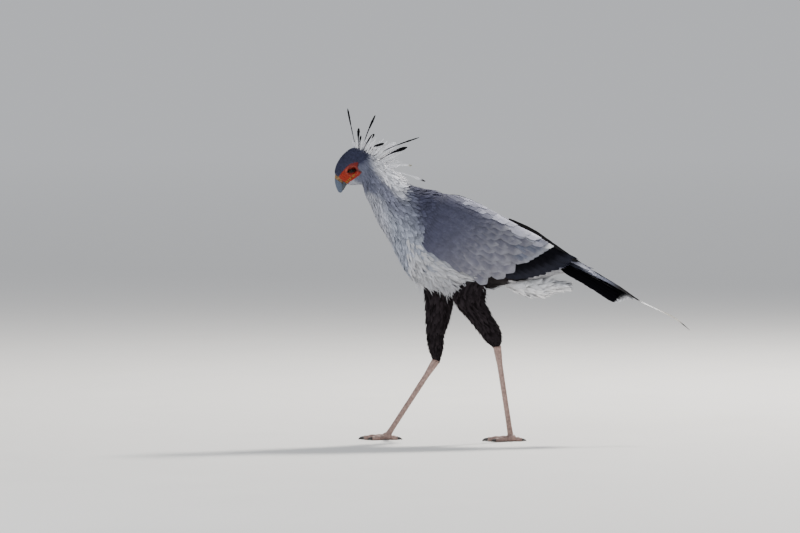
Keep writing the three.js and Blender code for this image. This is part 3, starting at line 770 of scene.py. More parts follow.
def shape_head(places):
    """Sockets, brows and the line of the mouth, pressed into the plain form of the head."""
    x, y, z = places[:, 0], np.abs(places[:, 1]), places[:, 2]
    dx, dz = x - EYE[0], z - EYE[2]
    away = np.hypot(dx, dz)
    ball = EYE[1] + np.sqrt(np.maximum((LID_RADIUS - 0.0006) ** 2 - np.minimum(away, 0.0125) ** 2, 0))
    cos, sin = math.cos(EYE_SLANT), math.sin(EYE_SLANT)
    open_eye = step(np.hypot((dx * cos + dz * sin) / 0.0115, (dz * cos - dx * sin) / 0.0068), 1.0, 0.8)
    ball = ball - 0.006 * open_eye
    side = y > 0.012
    y = np.where(side, mix(y, np.minimum(y, ball), step(away, 0.0150, 0.0098)), y)
    brow = np.exp(-((dx + 0.002) / 0.016) ** 2 - ((dz - 0.0135 - 0.36 * dx) / 0.0034) ** 2)
    cheek = np.exp(-((dx + 0.004) / 0.013) ** 2 - ((dz + 0.021) / 0.006) ** 2)
    lips = line_distance(x, z, MOUTH)
    y = y + np.where(side, 0.0030 * brow + 0.0010 * cheek, 0)
    y = y + np.where(side, 0.0011 * band(lips - 0.0022, 0.0012) - 0.0016 * band(lips, 0.0008), 0)
    return np.stack([x, np.sign(places[:, 1]) * y, z], -1)


def body_skin():
    """Skin of the head, neck and body, a little under the roots of the feathers."""
    loft = Loft(BODY)
    along = np.concatenate([np.linspace(0, HEAD_END, 110), np.linspace(HEAD_END, 1, 90)[1:]])
    u, v = np.meshgrid(along, circle(96), indexing="ij")
    place, normal, _, _ = loft.frame(u, v)
    depth = SKIN_DEPTH * step(u, HEAD_END * 0.6, HEAD_END * 1.6) + 0.0012 * step(u, 0.02, 0.1)
    bare = outline_distance(place[..., 0], place[..., 2], FACE)
    depth = depth * step(bare, -0.001, 0.006)
    place = shape_head((place - normal * depth[..., None]).reshape(-1, 3)).reshape(place.shape)
    return tube(place)


def shank_path(side, many):
    """Middle line of a shank from ankle to foot, with its half depths and half widths."""
    t = np.linspace(0, 1, many)
    (ax, az), (fx, fy) = ANKLES[side], FEET[side]
    path = np.stack([mix(ax, fx, t), side * mix(ANKLE_OUT, fy, t), mix(az, FOOT_HIGH, t)], -1)
    deep, wide = np.interp(t, SHANK_SHARES, SHANK_DEEP), np.interp(t, SHANK_SHARES, SHANK_WIDE)
    return path, deep, wide


def scutes(many, plates, front, back=0.0):
    """Relief of plates in a row down the front, with finer ones behind."""
    t = np.linspace(0, plates, many)[:, None]
    return lambda turn: (
        front * (1 - (2 * (t % 1) - 1) ** 6) * np.clip(np.cos(turn), 0, 1) ** 0.7
        + back * (1 - (2 * ((3 * t) % 1) - 1) ** 4) * np.clip(-np.cos(turn), 0, 1)
    )


def toe_path(side, turn, length, radius, many):
    """Middle line of a toe, its radii, and the way that it points."""
    fx, fy = FEET[side]
    angle = math.radians(turn)
    ahead = np.array([-math.cos(angle), -side * math.sin(angle), 0])
    t = np.linspace(0, 1, many)
    radii = radius * np.interp(t, [0, 0.3, 0.55, 0.8, 1], [1.1, 1, 1.04, 0.94, 0.8])
    radii = radii * (1 + 0.05 * np.cos(t * 6 * math.pi))
    height = radii - SOLE_CUT + 0.004 * (1 - t) ** 3
    start = np.stack([np.full(many, fx), np.full(many, side * fy), height], -1)
    return start + ahead * (length * t)[:, None], radii, ahead


def foot_parts(side):
    """Closed forms of a shank, its four toes and the pad between them."""
    path, deep, wide = shank_path(side, 260)
    parts = [tube(along_path(path, deep, wide, np.array([0, 1, 0.0]), 32, scutes(260, SCUTES, 0.05, 0.03)))]
    for _, turn, length, radius, _ in TOES:
        path, radii, ahead = toe_path(side, turn, length, radius, 90)
        across = np.cross(ahead, [0, 0, 1.0])
        rings = along_path(path, radii, radii, across, 24, scutes(90, round(length / SCUTE_LONG), 0.06))
        parts.append(tube(rings))
    fx, fy = FEET[side]
    t = np.linspace(0.06, math.pi - 0.06, 30)
    turn = circle(30)
    rings = np.stack([
        fx + FOOT_PAD[0] * np.sin(t)[:, None] * np.cos(turn),
        side * fy + FOOT_PAD[1] * np.sin(t)[:, None] * np.sin(turn),
        FOOT_HIGH + FOOT_PAD[2] * np.cos(t)[:, None] * np.ones(30),
    ], -1)
    parts.append(tube(rings))
    return parts


def solid(name, places, faces):
    """An object of one closed form, with its doubled points merged."""
    mesh = bpy.data.meshes.new(name)
    mesh.from_pydata(np.asarray(places), [], np.asarray(faces))
    thing = bpy.data.objects.new(name, mesh)
    bpy.context.scene.collection.objects.link(thing)
    bpy.context.view_layer.objects.active = thing
    for other in bpy.context.selected_objects:
        other.select_set(False)
    thing.select_set(True)
    bpy.ops.object.mode_set(mode="EDIT")
    bpy.ops.mesh.select_all(action="SELECT")
    bpy.ops.mesh.remove_doubles(threshold=1e-6)
    bpy.ops.mesh.normals_make_consistent(inside=False)
    bpy.ops.object.mode_set(mode="OBJECT")
    return thing


def whole_skin():
    """One closed skin, joined from the body, thighs, shanks and toes, and painted by place."""
    parts = [body_skin()]
    for side in SIDES:
        rows = shrunk(THIGHS[side], THIGH_SKIN_DEPTHS)
        parts.append(tube(Loft(rows, 8, side).rings(50, 40)))
        parts += foot_parts(side)
    things = [solid(f"part_{i}", *part) for i, part in enumerate(parts)]
    rest = bpy.data.collections.new("rest")
    for thing in things[1:]:
        rest.objects.link(thing)
    join = things[0].modifiers.new("join", "BOOLEAN")
    join.operation = "UNION"
    join.operand_type = "COLLECTION"
    join.collection = rest
    join.solver = "EXACT"
    shape = things[0].evaluated_get(bpy.context.evaluated_depsgraph_get()).to_mesh()
    places = np.zeros(len(shape.vertices) * 3)
    shape.vertices.foreach_get("co", places)
    faces = [tuple(face.vertices) for face in shape.polygons]
    places = places.reshape(-1, 3)
    places[:, 2] = np.maximum(places[:, 2], 0.0)
    for thing in things:
        bpy.data.objects.remove(thing)
    bpy.data.collections.remove(rest)
    legs = [f"{part}_{side}" for part in ("thigh", "tarsus", "foot") for side in SIDES.values()]
    nodes = ["head", "neck", "torso", *legs]
    mesh = piece("skin", places, faces, "face_skin", nodes, BARE, skin_colours(places)).data
    mesh.materials.append(SCALY)
    centres = np.zeros(len(mesh.polygons) * 3)
    mesh.polygons.foreach_get("center", centres)
    scaly = centres.reshape(-1, 3)[:, 2] < SCALY_BELOW
    mesh.polygons.foreach_set("material_index", scaly.astype(np.int32))


def skin_colours(places):
    """Colours of the bare face, of the skin under the feathers and of the legs."""
    x, z = places[:, 0], places[:, 2]
    dx, dz = x - EYE[0], z - EYE[2]
    face = blend(FACE_ORANGE, FACE_RED, step(dz + 0.35 * dx, -0.012, 0.016))
    ring = np.hypot(dx / 1.25, dz)
    face = blend(face, EYE_RING, band(ring - 0.0160, 0.002) * 0.16)
    # A painted highlight along the brow fold.
    face = blend(face, BROW_HIGHLIGHT, 0.55 * band(line_distance(x, z, BROW_LINE), 0.0017))
    lips = line_distance(x, z, MOUTH)
    face = blend(face, GAPE_YELLOW, np.exp(-((lips - 0.0004) / 0.0015) ** 4))
    # Painted shade in the crease along the line of the mouth.
    face = blend(face, MOUTH_SHADE, 0.9 * band(lips, 0.0009))
    dark = np.maximum(eye_dark(dx, dz), 0.85 * band(line_distance(x, z, EYE_LINE), 0.0022))
    face = blend(face, EYE_RIM, dark)
    face = blend(face, GAPE_YELLOW, step(x, -0.362, -0.374))
    under = blend(CHIN_SKIN, CROWN * 0.8, step(z - x, 1.200, 1.215))
    head = blend(under, face, step(outline_distance(x, z, FACE), 0.004, -0.001))
    body = blend(UNDER_COAT, THIGH_BLACK, step(z, 0.60, 0.56))
    colour = np.where((z > HEAD_ABOVE)[:, None], head, body)
    ankle = np.where(places[:, 1] < 0, ANKLES[LEFT][1], ANKLES[RIGHT][1])
    leg = LEG_PINK * mix(0.86, 1.06, step(z, 0.0, 0.2))[:, None]
    return blend(colour, leg, step(z, ankle + 0.010, ankle - 0.006))


# Coat of the body
MID_NECK, MID_TORSO = (HEAD_END + NECK_END) / 2, (NECK_END + TORSO_END) / 2
SIZE_AT = [0, HEAD_END / 2, HEAD_END, MID_NECK, NECK_END, MID_TORSO, 1]
FEATHER_LONG = [0.0048, 0.0080, 0.0135, 0.024, 0.032, 0.042, 0.040]
FEATHER_GAP = [0.0018, 0.0024, 0.0038, 0.0056, 0.0074, 0.0098, 0.0100]

# Name, slot, span along the body and count of tries of each piece of the coat.
COAT_BANDS = [
    ("coat_head", "plumage_grey", 0.006, HEAD_END, 110000),
    ("coat_neck", "plumage_pale", HEAD_END, NECK_END, 80000),
    ("coat_body", "plumage_grey", NECK_END, 1.0, 90000),
]


def hindneck(place, turn):
    """The white, ragged feathers of the nape and the back of the neck."""
    x = place[:, 0]
    return step(x, -0.285, -0.245) * step(x, -0.150, -0.200) * step(np.cos(turn), 0.15, 0.75)


def thigh_top(place):
    """Share of the dark feathers that run from the thighs up the flanks."""
    away = ((place[:, 0] - 0.108) / 0.054) ** 2 + ((place[:, 2] - 0.526) / 0.046) ** 2
    return step(away, 1.2, 0.8) * (place[:, 1] < 0)


def body_colours(turn, place, random):
    """Colours of the body's feathers, by the place of their roots."""
    x, z, up = place[:, 0], place[:, 2], np.cos(turn)
    body = blend(BREAST, BELLY, step(x, -0.16, 0.02) * step(up, 0.2, -0.7))
    body = blend(body, BACK, step(x + 0.35 * (z - 0.75), -0.19, -0.10) * step(up, -0.50, 0.05))
    neck = blend(THROAT, BREAST, step(x, -0.27, -0.19))
    neck = blend(neck, NECK_GREY, step(up, -0.55, 0.0))
    body = blend(neck, body, step(x, -0.20, -0.12))
    head = blend(CHEEK, THROAT, step(z + 0.55 * (x + 0.32), 0.868, 0.852))
    head = blend(head, CROWN, step(z - x, 1.208, 1.226))
    colour = blend(head, body, step(x + 0.25 * (z - 0.9), -0.278, -0.246))
    colour = blend(colour, NAPE, hindneck(place, turn))
    colour = blend(colour, THIGH_BLACK, thigh_top(place))
    spread = mix(0.14, 0.34, step(x, -0.30, -0.26) * step(x, -0.05, -0.14))[:, None]
    return colour * (1 + spread * random.uniform(-1, 1, (len(x), 1)))


def body_grows(turn, place):
    """Where the body's own feathers grow: not on the bare face, nor well under the folded wing."""
    x, z = place[:, 0], place[:, 2]
    back, down = wing_place(x, z)
    behind = (back > wing_front(down) + 0.012) & (back < WING_END)
    under_wing = behind & (down > 0.03) & (down < WING_DEPTH - 0.006)
    chin = (x < -0.336) & (z < 0.860)
    return (outline_distance(x, z, FACE) > 0.0005) & ~under_wing & ~chin


def body_coat():
    random = np.random.default_rng(SEEDS["coat"])
    loft = Loft(BODY)
    for name, slot, low, high, many in COAT_BANDS:
        gaps = (SIZE_AT, FEATHER_GAP)
        along, turn, place = scatter(loft, many, gaps, random, (low, high), body_grows)
        count = len(along)
        nape = hindneck(place, turn)
        neck = step(along, HEAD_END * 0.8, HEAD_END * 1.1) * step(along, NECK_END * 1.15, NECK_END * 0.9)
        long = np.interp(along, SIZE_AT, FEATHER_LONG) * random.uniform(0.8, 1.2, count)
        long = long * mix(1, 1.9, nape) * mix(1, 1.25, neck)
        wide = long * mix(mix(0.46, 0.22, neck), 0.13, nape) * random.uniform(0.85, 1.1, count)
        wide = np.where(long < 0.012, long * 0.52, wide)
        lean = random.normal(0, 0.10, count) + nape * random.normal(0, 0.14, count)
        base = body_colours(turn, place, random)
        tip = base * mix(1.08, 1.16, random.random((count, 1)))
        lift = -0.16 * np.minimum(long, 0.03)
        rise = long * mix(0.17, 0.34, nape * random.random(count)) + 0.0006
        rise = rise * mix(1, 0.6, beside_wing(place))
        coat = Coat()
        lay(coat, loft, along, turn, long, wide, lean, base, tip, lift, rise)
        coat.build(name, slot, [], PLUME)


# Folded wings
WING_ALONG = np.array([math.cos(WING_SLOPE), -math.sin(WING_SLOPE)])
WING_DOWN = np.array([-math.sin(WING_SLOPE), -math.cos(WING_SLOPE)])


def wing_place(x, z):
    """Places on the wing's slanting frame, back along it and down across it."""
    dx, dz = x - WING_ORIGIN[0], z - WING_ORIGIN[1]
    return dx * WING_ALONG[0] + dz * WING_ALONG[1], dx * WING_DOWN[0] + dz * WING_DOWN[1]


def wing_point(back, down):
    """The x and z of places on the wing's slanting frame."""
    x = WING_ORIGIN[0] + WING_ALONG[0] * back + WING_DOWN[0] * down
    z = WING_ORIGIN[1] + WING_ALONG[1] * back + WING_DOWN[1] * down
    return x, z


def wing_front(down):
    """How far back the folded wing begins."""
    return WING_FRONT + WING_FRONT_LEAN * down + SHOULDER_SET_BACK * np.maximum(0, 1 - down / SHOULDER_DEPTH)


def wing_tips(down):
    """How far back the coverts reach."""
    return COVERTS_END - COVERTS_LEAN * down


def beside_wing(place):
    """Share of the feathers that must lie flat, to slip under the edge of the folded wing."""
    back, down = wing_place(place[:, 0], place[:, 2])
    behind = step(back - wing_front(down), -0.060, -0.040)
    return behind * step(down, -0.010, 0.010) * step(down, WING_DEPTH + 0.045, WING_DEPTH + 0.025)


def wing_lift(back, down):
    """How far the feathers lie off the body: little at the wing's edges, more inside them."""
    inside = np.minimum(back - wing_front(down), WING_DEPTH + 0.014 - down)
    return mix(*WING_LIFT, step(inside, 0, 0.042))


def wing_feathers(coat, side, back, down, lean, long, wide, base, tip, extra, rise,
                  thick=0.0005, rows=9, columns=5, edge=0.3):
    """Feathers on the folded wing; lean is the fall below the wing's own slope."""
    t = np.linspace(0, 1, rows)
    shares = np.interp(t, [0, 0.15, 0.5, 0.8, 0.93, 1], [0.4, 0.8, 1, 0.93, 0.66, 0.12])
    run, off, forward, aside = fan(long, wide, lean, t, shares, columns)
    b, d = each(back) + forward, each(down) + aside
    x, z = wing_point(b, d)
    height = wing_lift(b, d) + each(extra) + rise * run + 0.14 * off - 0.06 * np.abs(off)
    place, normal = drape(x.ravel(), z.ravel(), side, height.ravel())
    shape = (*x.shape, 3)
    roots = np.stack([WING_PATCH[side] + 0.45 * back, 0.02 + 2.2 * np.clip(down, 0, 0.4)], -1)
    tints = shaded(base, tip, rows, columns, edge)
    coat.add(place.reshape(shape), normal.reshape(shape), tints, roots, long, thick)


def covert_places(random):
    """Roots and lengths of the coverts, with broad rows along the wing's end."""
    roots = []
    back = 0.0
    while back < WING_END:
        long = float(np.interp(back, [0, 0.06, 0.14, 0.22, 0.34], [0.028, 0.040, 0.064, 0.092, 0.112]))
        wide = long * 0.46
        offset = random.uniform(0, wide * 0.5)
        for down in np.arange(0.002 + offset, WING_DEPTH + 0.004, wide * 0.50):
            where = back + random.uniform(-0.07, 0.07) * long
            if where > wing_front(down) - 0.012 and where + long < wing_tips(down) - 0.010:
                roots.append((where, down, long * random.uniform(0.9, 1.08)))
        back += long * mix(0.27, 0.36, step(back, 0.12, 0.22))
    for row in (2, 1, 0):
        for down in np.arange(0.016, WING_DEPTH, 0.0370) - 0.015 * (row % 2):
            long = 0.124 - 0.006 * row
            where = wing_tips(down) - 0.032 * row - long + random.uniform(-0.004, 0.004)
            roots.append((where, down - long * 0.20 * down / WING_DEPTH, long))
    return np.array(roots).T


def covert_coat(side, random):
    """Grey coverts, paler in a stripe along the top of the wing and at the tips of the last rows."""
    coat = Coat()
    back, down, long = covert_places(random)
    count = len(back)
    behind = back - wing_front(down)
    lean = 0.05 + 0.24 * down / WING_DEPTH + random.normal(0, 0.04, count)
    base = blend(BACK, COVERT_GREY, step(behind, 0.0, 0.08))
    base = blend(base, COVERT_REAR, step(back + 0.4 * down, 0.10, 0.26))
    middle = np.interp(back + 0.5 * long, [0, 0.07, 0.27, 0.41], [0.016, 0.012, 0.002, 0.020])
    stripe = step(np.abs(down - middle), 0.024, 0.006) * step(back, 0.02, 0.10)
    base = blend(base, SCAPULAR, stripe * random.uniform(0.4, 1, count))
    base = base * random.uniform(0.92, 1.08, (count, 1))
    tip = blend(base, WHITE, (0.02 + 0.16 * step(long, 0.05, 0.09)) * random.uniform(0.6, 1, count))
    extra = mix(-0.0045, -0.0015, step(behind, -0.010, 0.010))
    wide = long * mix(0.46, 0.43, step(long, 0.09, 0.12))
    wing_feathers(coat, side, back, down, lean, long, wide, base, tip, extra, 0.055, edge=0.75)
    return coat


def quill_coat(side, random):
    """Black flight feathers with streaked grey inner ones over them."""
    coat = Coat()

    def row(count, long, width, tip_back, tip_down, lean, base, tip, *rest):
        back, down = tip_back - long * np.cos(lean), tip_down - long * np.sin(lean)
        wing_feathers(coat, side, back, down, lean, long, np.full(count, width), base, tip, *rest)

    share = np.linspace(0, 1, FLIGHT_QUILLS)
    tip_back = 0.524 - 0.170 * share + random.uniform(-0.003, 0.003, FLIGHT_QUILLS)
    tip_down = 0.012 + 0.152 * (1 - (1 - share) ** 1.6)
    long, lean = np.full(FLIGHT_QUILLS, 0.24), mix(-0.06, 0.20, share)
    base = FLIGHT_BLACK * random.uniform(0.8, 1.3, (FLIGHT_QUILLS, 1))
    tip = mix(base, QUILL_GREY, 0.25)
    extra = mix(0.0, -0.009, share)
    row(FLIGHT_QUILLS, long, 0.040, tip_back, tip_down, lean, base, tip, extra, 0.012, 0.0007, 26, 7, 0.1)

    share = np.linspace(0, 1, GREY_QUILLS)
    tip_back, tip_down = mix(0.430, 0.384, share), mix(0.022, 0.092, share)
    long, lean = mix(0.115, 0.10, share), mix(0.0, 0.16, share)
    base = TAIL_GREY * random.uniform(0.85, 1.2, (GREY_QUILLS, 1))
    tip = blend(base, WHITE, mix(0.85, 0.22, step(share, 0, 0.25)))
    extra = np.full(GREY_QUILLS, 0.0015)
    row(GREY_QUILLS, long, 0.036, tip_back, tip_down, lean, base, tip, extra, 0.03, 0.0006, 18, 7, 0.35)
    ridge_line(coat, side, random)
    return coat


def ridge_line(coat, side, random):
    """Long black feathers of the wing's upper edge, which show along the back's ridge."""
    for k in range(RIDGE_QUILLS):
        back = np.linspace(0.262 + 0.030 * k, 0.405 + 0.034 * k, 5)
        high = 0.0018 * np.sin(np.linspace(0.3, math.pi, 5)) - 0.0008 - 0.0042 * k
        x, z = wing_point(back, -high)
        y = side * np.interp(back, [0.2, 0.35, 0.54], [0.020, 0.014, 0.010])
        half = np.array([0.3, 0.7, 1, 0.9, 0.3]) * 0.012
        across = np.array([0.35, side * 0.55, -0.75])
        grid, normal = blade(np.stack([x, y, z], -1), half, across, 22, 5, 0.001, 0.1, random)
        base = FLIGHT_BLACK * random.uniform(0.4, 0.8)
        root = (0.6 if side == LEFT else 0.85, 0.5 + 0.02 * k)
        coat.add(grid, normal, shaded(base, base * 1.5, 22, 5, 0.3), root, 0.14, 0.0006)


def wings():
    for side, name in SIDES.items():
        random = np.random.default_rng(SEEDS["wings"] + side)
        nodes = [f"wing_{name}"]
        covert_coat(side, random).build(f"wing_coverts_{name}", "plumage_grey", nodes, PLUME)
        quill_coat(side, random).build(f"wing_quills_{name}", "plumage_black", nodes, DARK_PLUME)


# Tail
def rolled(side, degrees):
    """A direction across a feather, out to its side and down."""
    roll = math.radians(degrees)
    return np.array([0, math.cos(roll) * side, -math.sin(roll)])


def streamer(coat, side, random):
    """One of the two long middle feathers: grey, black, white and tipped with black."""
    line = smooth([(x, side * 0.005, z) for x, z in STREAMER_LINE], 8)
    line = line[: int(len(line) * STREAMER_SHARE[side])]
    line[:, 1] += side * np.linspace(0.006, 0.018, len(line))
    shares = np.array([0.5, 0.9, 1, 1, 0.9, 0.62, 0.34, 0.26, 0.26, 0.30, 0.36, 0.30, 0.08])
    grid, normal = blade(line, shares * 0.018, rolled(side, 20), 60, 7, 0.0016, 0.14, random)
    t = np.linspace(0, 1, 60)[None, :, None, None]
    colours = TAIL_GREY
    for colour, start, end in STREAMER_TONES:
        colours = mix(colours, colour, step(t, start, end))
    coat.add(grid, normal, colours, (0.6 + 0.05 * side, 0.8), 0.46, 0.0008)


def tail():
    random = np.random.default_rng(SEEDS["tail"])
    coat = Coat()

    def quill(path, half, across, base, tip, tip_from, rows, place):
        grid, normal = blade(path, half, across, rows, 7, 0.002, 0.12, random)
        colours = shaded(base, tip, rows, 7, tip_from=tip_from)
        root = (0.52 + 0.4 * place, 0.72 + 0.02 * random.random())
        coat.add(grid, normal, colours, root, 0.3, 0.0008)

    for side in SIDES:
        streamer(coat, side, random)
        for pair in range(TAIL_PAIRS):
            share = pair / (TAIL_PAIRS - 1)
            long = 0.268 - 0.012 * pair + random.uniform(-0.004, 0.004)
            slope = math.radians(28.5 + 0.8 * pair)
            root = np.array([0.366, side * (0.007 + 0.0022 * pair), 0.599 - 0.0055 * pair])
            out = side * (0.012 + 0.0038 * pair)
            tip = root + np.array([math.cos(slope) * long, out, -math.sin(slope) * long])
            path = [root, (root + tip) / 2 + np.array([0, side * 0.003, 0.011]), tip]
            half = np.array([0.4, 0.8, 0.96, 1, 0.95, 0.8, 0.35]) * 0.023
            across = rolled(side, mix(28, 64, share))
            quill(path, half, across, FLIGHT_BLACK, WHITE, mix(0.84, 0.94, share), 34, share)
        for k in range(TAIL_COVERTS):
            x, z = 0.372 + 0.012 * k, 0.607 - 0.009 * k
            middle, tip = (x + 0.04, side * 0.019, z - 0.015), (x + 0.088, side * 0.021, z - 0.041)
            path = [(x, side * 0.012, z), middle, tip]
            half = np.array([0.5, 0.9, 1, 0.8, 0.3]) * 0.014
            across = rolled(side, 30 + 8 * k)
            quill(path, half, across, *TAIL_COVERT_TONES, 0.5, 20, k / TAIL_COVERTS)
    coat.build("tail_feathers", "plumage_black", ["tail"], DARK_PLUME)


def undertail():
    random = np.random.default_rng(SEEDS["undertail"])
    loft = Loft(UNDERTAIL)
    coat = Coat()
    along, turn, _ = scatter(loft, UNDERTAIL_TRIES, ([0], [UNDERTAIL_GAP]), random, (0.0, 0.93))
    count = len(along)
    long = random.uniform(0.034, 0.056, count)
    base = blend(FLUFF, WHITE, random.uniform(0.4, 1, count))
    # Painted shade: darker on the upper side, under the tail.
    base = base * mix(0.8, 1.0, step(np.cos(turn), 1, -0.5))[:, None]
    lean = random.normal(0, 0.26, count)
    lift = np.full(count, -0.004)
    rise = random.uniform(0.004, 0.018, count)
    tip = base * 1.1
    lay(coat, loft, along, turn, long, long * 0.28, lean, base, tip, lift, rise, SOFT_SHARES, UNDERTAIL_PATCH)
    coat.build("undertail_feathers", "plumage_pale", ["undertail_coverts"], DOWN)


# Thighs and flank
def thighs():
    random = np.random.default_rng(SEEDS["thighs"])
    gaps = ([0, 0.75, 1], [0.0056, 0.0042, 0.0026])
    for side, name in SIDES.items():
        loft = Loft(THIGHS[side], 8, side)
        coat = Coat()
        along, turn, _ = scatter(loft, THIGH_TRIES, gaps, random, (0.0, 0.99))
        count = len(along)
        long = np.interp(along, [0, 0.7, 1], [0.034, 0.026, 0.012]) * random.uniform(0.8, 1.2, count)
        base = THIGH_BLACK * random.uniform(0.5, 2.2, (count, 1))
        lean = random.normal(0, 0.14, count)
        rise = long * random.uniform(0.10, 0.36, count)
        lift, wide, tip = -0.12 * long, long * 0.36, base * 1.3
        patch = THIGH_PATCHES[side]
        lay(coat, loft, along, turn, long, wide, lean, base, tip, lift, rise, SOFT_SHARES, patch)
        coat.build(f"thigh_feathers_{name}", "plumage_black", [], DARK_PLUME)


def below_wing(turn, place):
    """Where the loose down of the breast and flanks grows."""
    back, down = wing_place(place[:, 0], place[:, 2])
    span = (place[:, 0] > -0.15) & (place[:, 0] < 0.30)
    return (np.cos(turn) < -0.45) & span & ((down > WING_DEPTH) | (back < -0.02))


def flank_fluff():
    """Soft pale feathers of the lower breast and flanks that hang over the tops of the legs."""
    random = np.random.default_rng(SEEDS["flank"])
    loft = Loft(BODY)
    coat = Coat()
    span = (NECK_END, TORSO_END)
    along, turn, place = scatter(loft, FLANK_TRIES, ([0], [FLANK_GAP]), random, span, below_wing)
    count = len(along)
    long = random.uniform(0.036, 0.062, count)
    base = blend(BELLY, FLUFF, random.random(count)) * random.uniform(0.95, 1.05, (count, 1))
    base = blend(base, THIGH_BLACK, thigh_top(place))
    lean = random.normal(0, 0.22, count)
    rise = long * random.uniform(0.16, 0.36, count) * mix(1, 0.25, beside_wing(place))
    lift, wide, tip = -0.10 * long, long * 0.26, base * 1.04
    lay(coat, loft, along, turn, long, wide, lean, base, tip, lift, rise, SOFT_SHARES, curl=0.4, root=0.92)
    x, up = place[:, 0], np.cos(turn)
    low = place[(x > -0.12) & (x < 0.10) & (up < -0.70) & (up > -0.97)]
    for start in low[random.choice(len(low), HANGING_BLADES)]:
        out = np.sign(start[1])
        way = unit(np.array([random.uniform(0.1, 1.3), out * random.uniform(-0.2, 0.3), -1.0]))
        reach = random.uniform(0.018, 0.056)
        middle = start + way * reach * 0.5 + np.array([0, out * 0.004, 0])
        half = np.array([0.5, 0.9, 1, 0.6, 0.1]) * random.uniform(0.0010, 0.0024)
        path = [start - way * 0.006, middle, start + way * reach]
        grid, normal = blade(path, half, np.array([0.95, 0, 0.3]), 8, 3, 0.0, 0.4, random)
        tone = mix(BELLY, FLUFF, random.random())
        root = (0.02 + 0.4 * random.random(), 0.2 + 0.1 * random.random())
        coat.add(grid, normal, np.broadcast_to(tone, grid.shape), root, reach, 0.0003)
    coat.build("flank_fluff", "plumage_pale", [], DOWN)


# Crest
def crest_plume(coat, k, row, random):
    """One long feather of the crest, narrow up to the club near its tip."""
    x, z, angle, long, club, y = row
    lean = math.radians(angle)
    along = unit(np.array([math.cos(lean), y * 12, math.sin(lean)]) * np.array([1, 0.012, 1]))
    root = np.array([x, y, z]) - along * 0.009
    tip = root + along * (long + 0.009)
    bend = (root + tip) / 2 + np.array([-0.002, 0, 0.004 + 0.002 * random.random()])
    roll = math.radians(random.uniform(-12, 12))
    flat = np.array([-math.sin(lean), 0, math.cos(lean)])
    across = flat * math.cos(roll) + np.array([0, math.sin(roll), 0])
    stem = np.array([0.9, 0.8, 0.8, 0.9, 1.2]) * 0.0015
    half = np.concatenate([stem, np.array([0.5, 0.8, 1.0, 0.85, 0.25]) * club / 2])
    grid, normal = blade([root, bend, tip], half, across, 40, 5, 0.0006, 0.25, random)
    pale = k in PALE_CREST
    base = NAPE * 0.9 if pale else CREST_STEM
    colours = shaded(base, PALE_CREST.get(k, CREST_BLACK), 40, 5, 0.0, 1.0, 0.80 if pale else 0.40)
    coat.add(grid, normal, colours, (0.94, 0.05 + 0.04 * k), long, 0.0007)


def crest_wisp(coat, k, random):
    """One short white wisp among the roots of the crest, from the crown down the nape."""
    share = k / (CREST_WISPS - 1)
    root = np.array([mix(-0.316, -0.205, share), 0, mix(0.966, 0.900, share ** 1.2) - 0.006])
    root[1] = random.uniform(-0.014, 0.014)
    lean = math.radians(mix(104, 8, share ** 0.8) + random.uniform(-9, 9))
    long = (0.030 + 0.062 * math.sin(math.pi * share ** 1.3)) * random.uniform(0.7, 1.15)
    along = np.array([math.cos(lean), root[1] * 8, math.sin(lean)])
    path = [root, root + along * long * 0.5 + np.array([0, 0, 0.003]), root + along * long]
    across = np.array([-math.sin(lean), random.uniform(-0.5, 0.5), math.cos(lean)])
    half = np.array([0.5, 0.9, 1, 0.8, 0.1]) * random.uniform(0.0022, 0.0044)
    grid, normal = blade(path, half, across, 16, 5, 0.0005, 0.4, random)
    base = NAPE * random.uniform(0.75, 1.0)
    coat.add(grid, normal, shaded(base, base * 1.05, 16, 5, 0.0, 0.8), (0.97, 0.05 + 0.02 * k), long, 0.0004)


def crest():
    random = np.random.default_rng(SEEDS["crest"])
    coat = Coat()
    rows = list(CREST)
    for i in FAR_PLUMES:
        x, z, angle, long, club, y = CREST[i]
        turned, short = angle - 4 - 9 * random.random(), mix(0.55, 0.8, random.random())
        rows.append([x + 0.003, z - 0.002, turned, long * short, club * 0.7, -1.3 * y])
    for k, row in enumerate(rows):
        crest_plume(coat, k, row, random)
    for k in range(CREST_WISPS):
        crest_wisp(coat, k, random)
    coat.build("crest_feathers", "plumage_black", [], DARK_PLUME)


# Eyes and lids
def eyes():
    material = eye_material()
    for side, name in SIDES.items():
        lat, lon = np.meshgrid(np.linspace(0.0, math.pi, 40), circle(48), indexing="ij")
        ball = np.stack([np.sin(lat) * np.cos(lon), side * np.cos(lat), np.sin(lat) * np.sin(lon)], -1)
        bulge = EYE_RADIUS * (1 + 0.02 * step(lat, 0.5, 0.1)[..., None])
        places = (ball * bulge + np.array([EYE[0], side * EYE[1], EYE[2]])).reshape(-1, 3)
        iris = np.stack([lat / math.pi, lon / (2 * math.pi)], -1).reshape(-1, 2)
        faces = grid_faces(1, 40, 48, closed=True)
        piece(f"eyeball_{name}", places, faces, "eye", [f"eye_{name}"], material, uvs={"Iris": iris})
        lids(side, name)
        lashes(side, name)


def almond(across):
    """Half the height of the eye's opening, by share across it."""
    return LID_OPEN[1] * (1 - across ** 2) ** 0.8


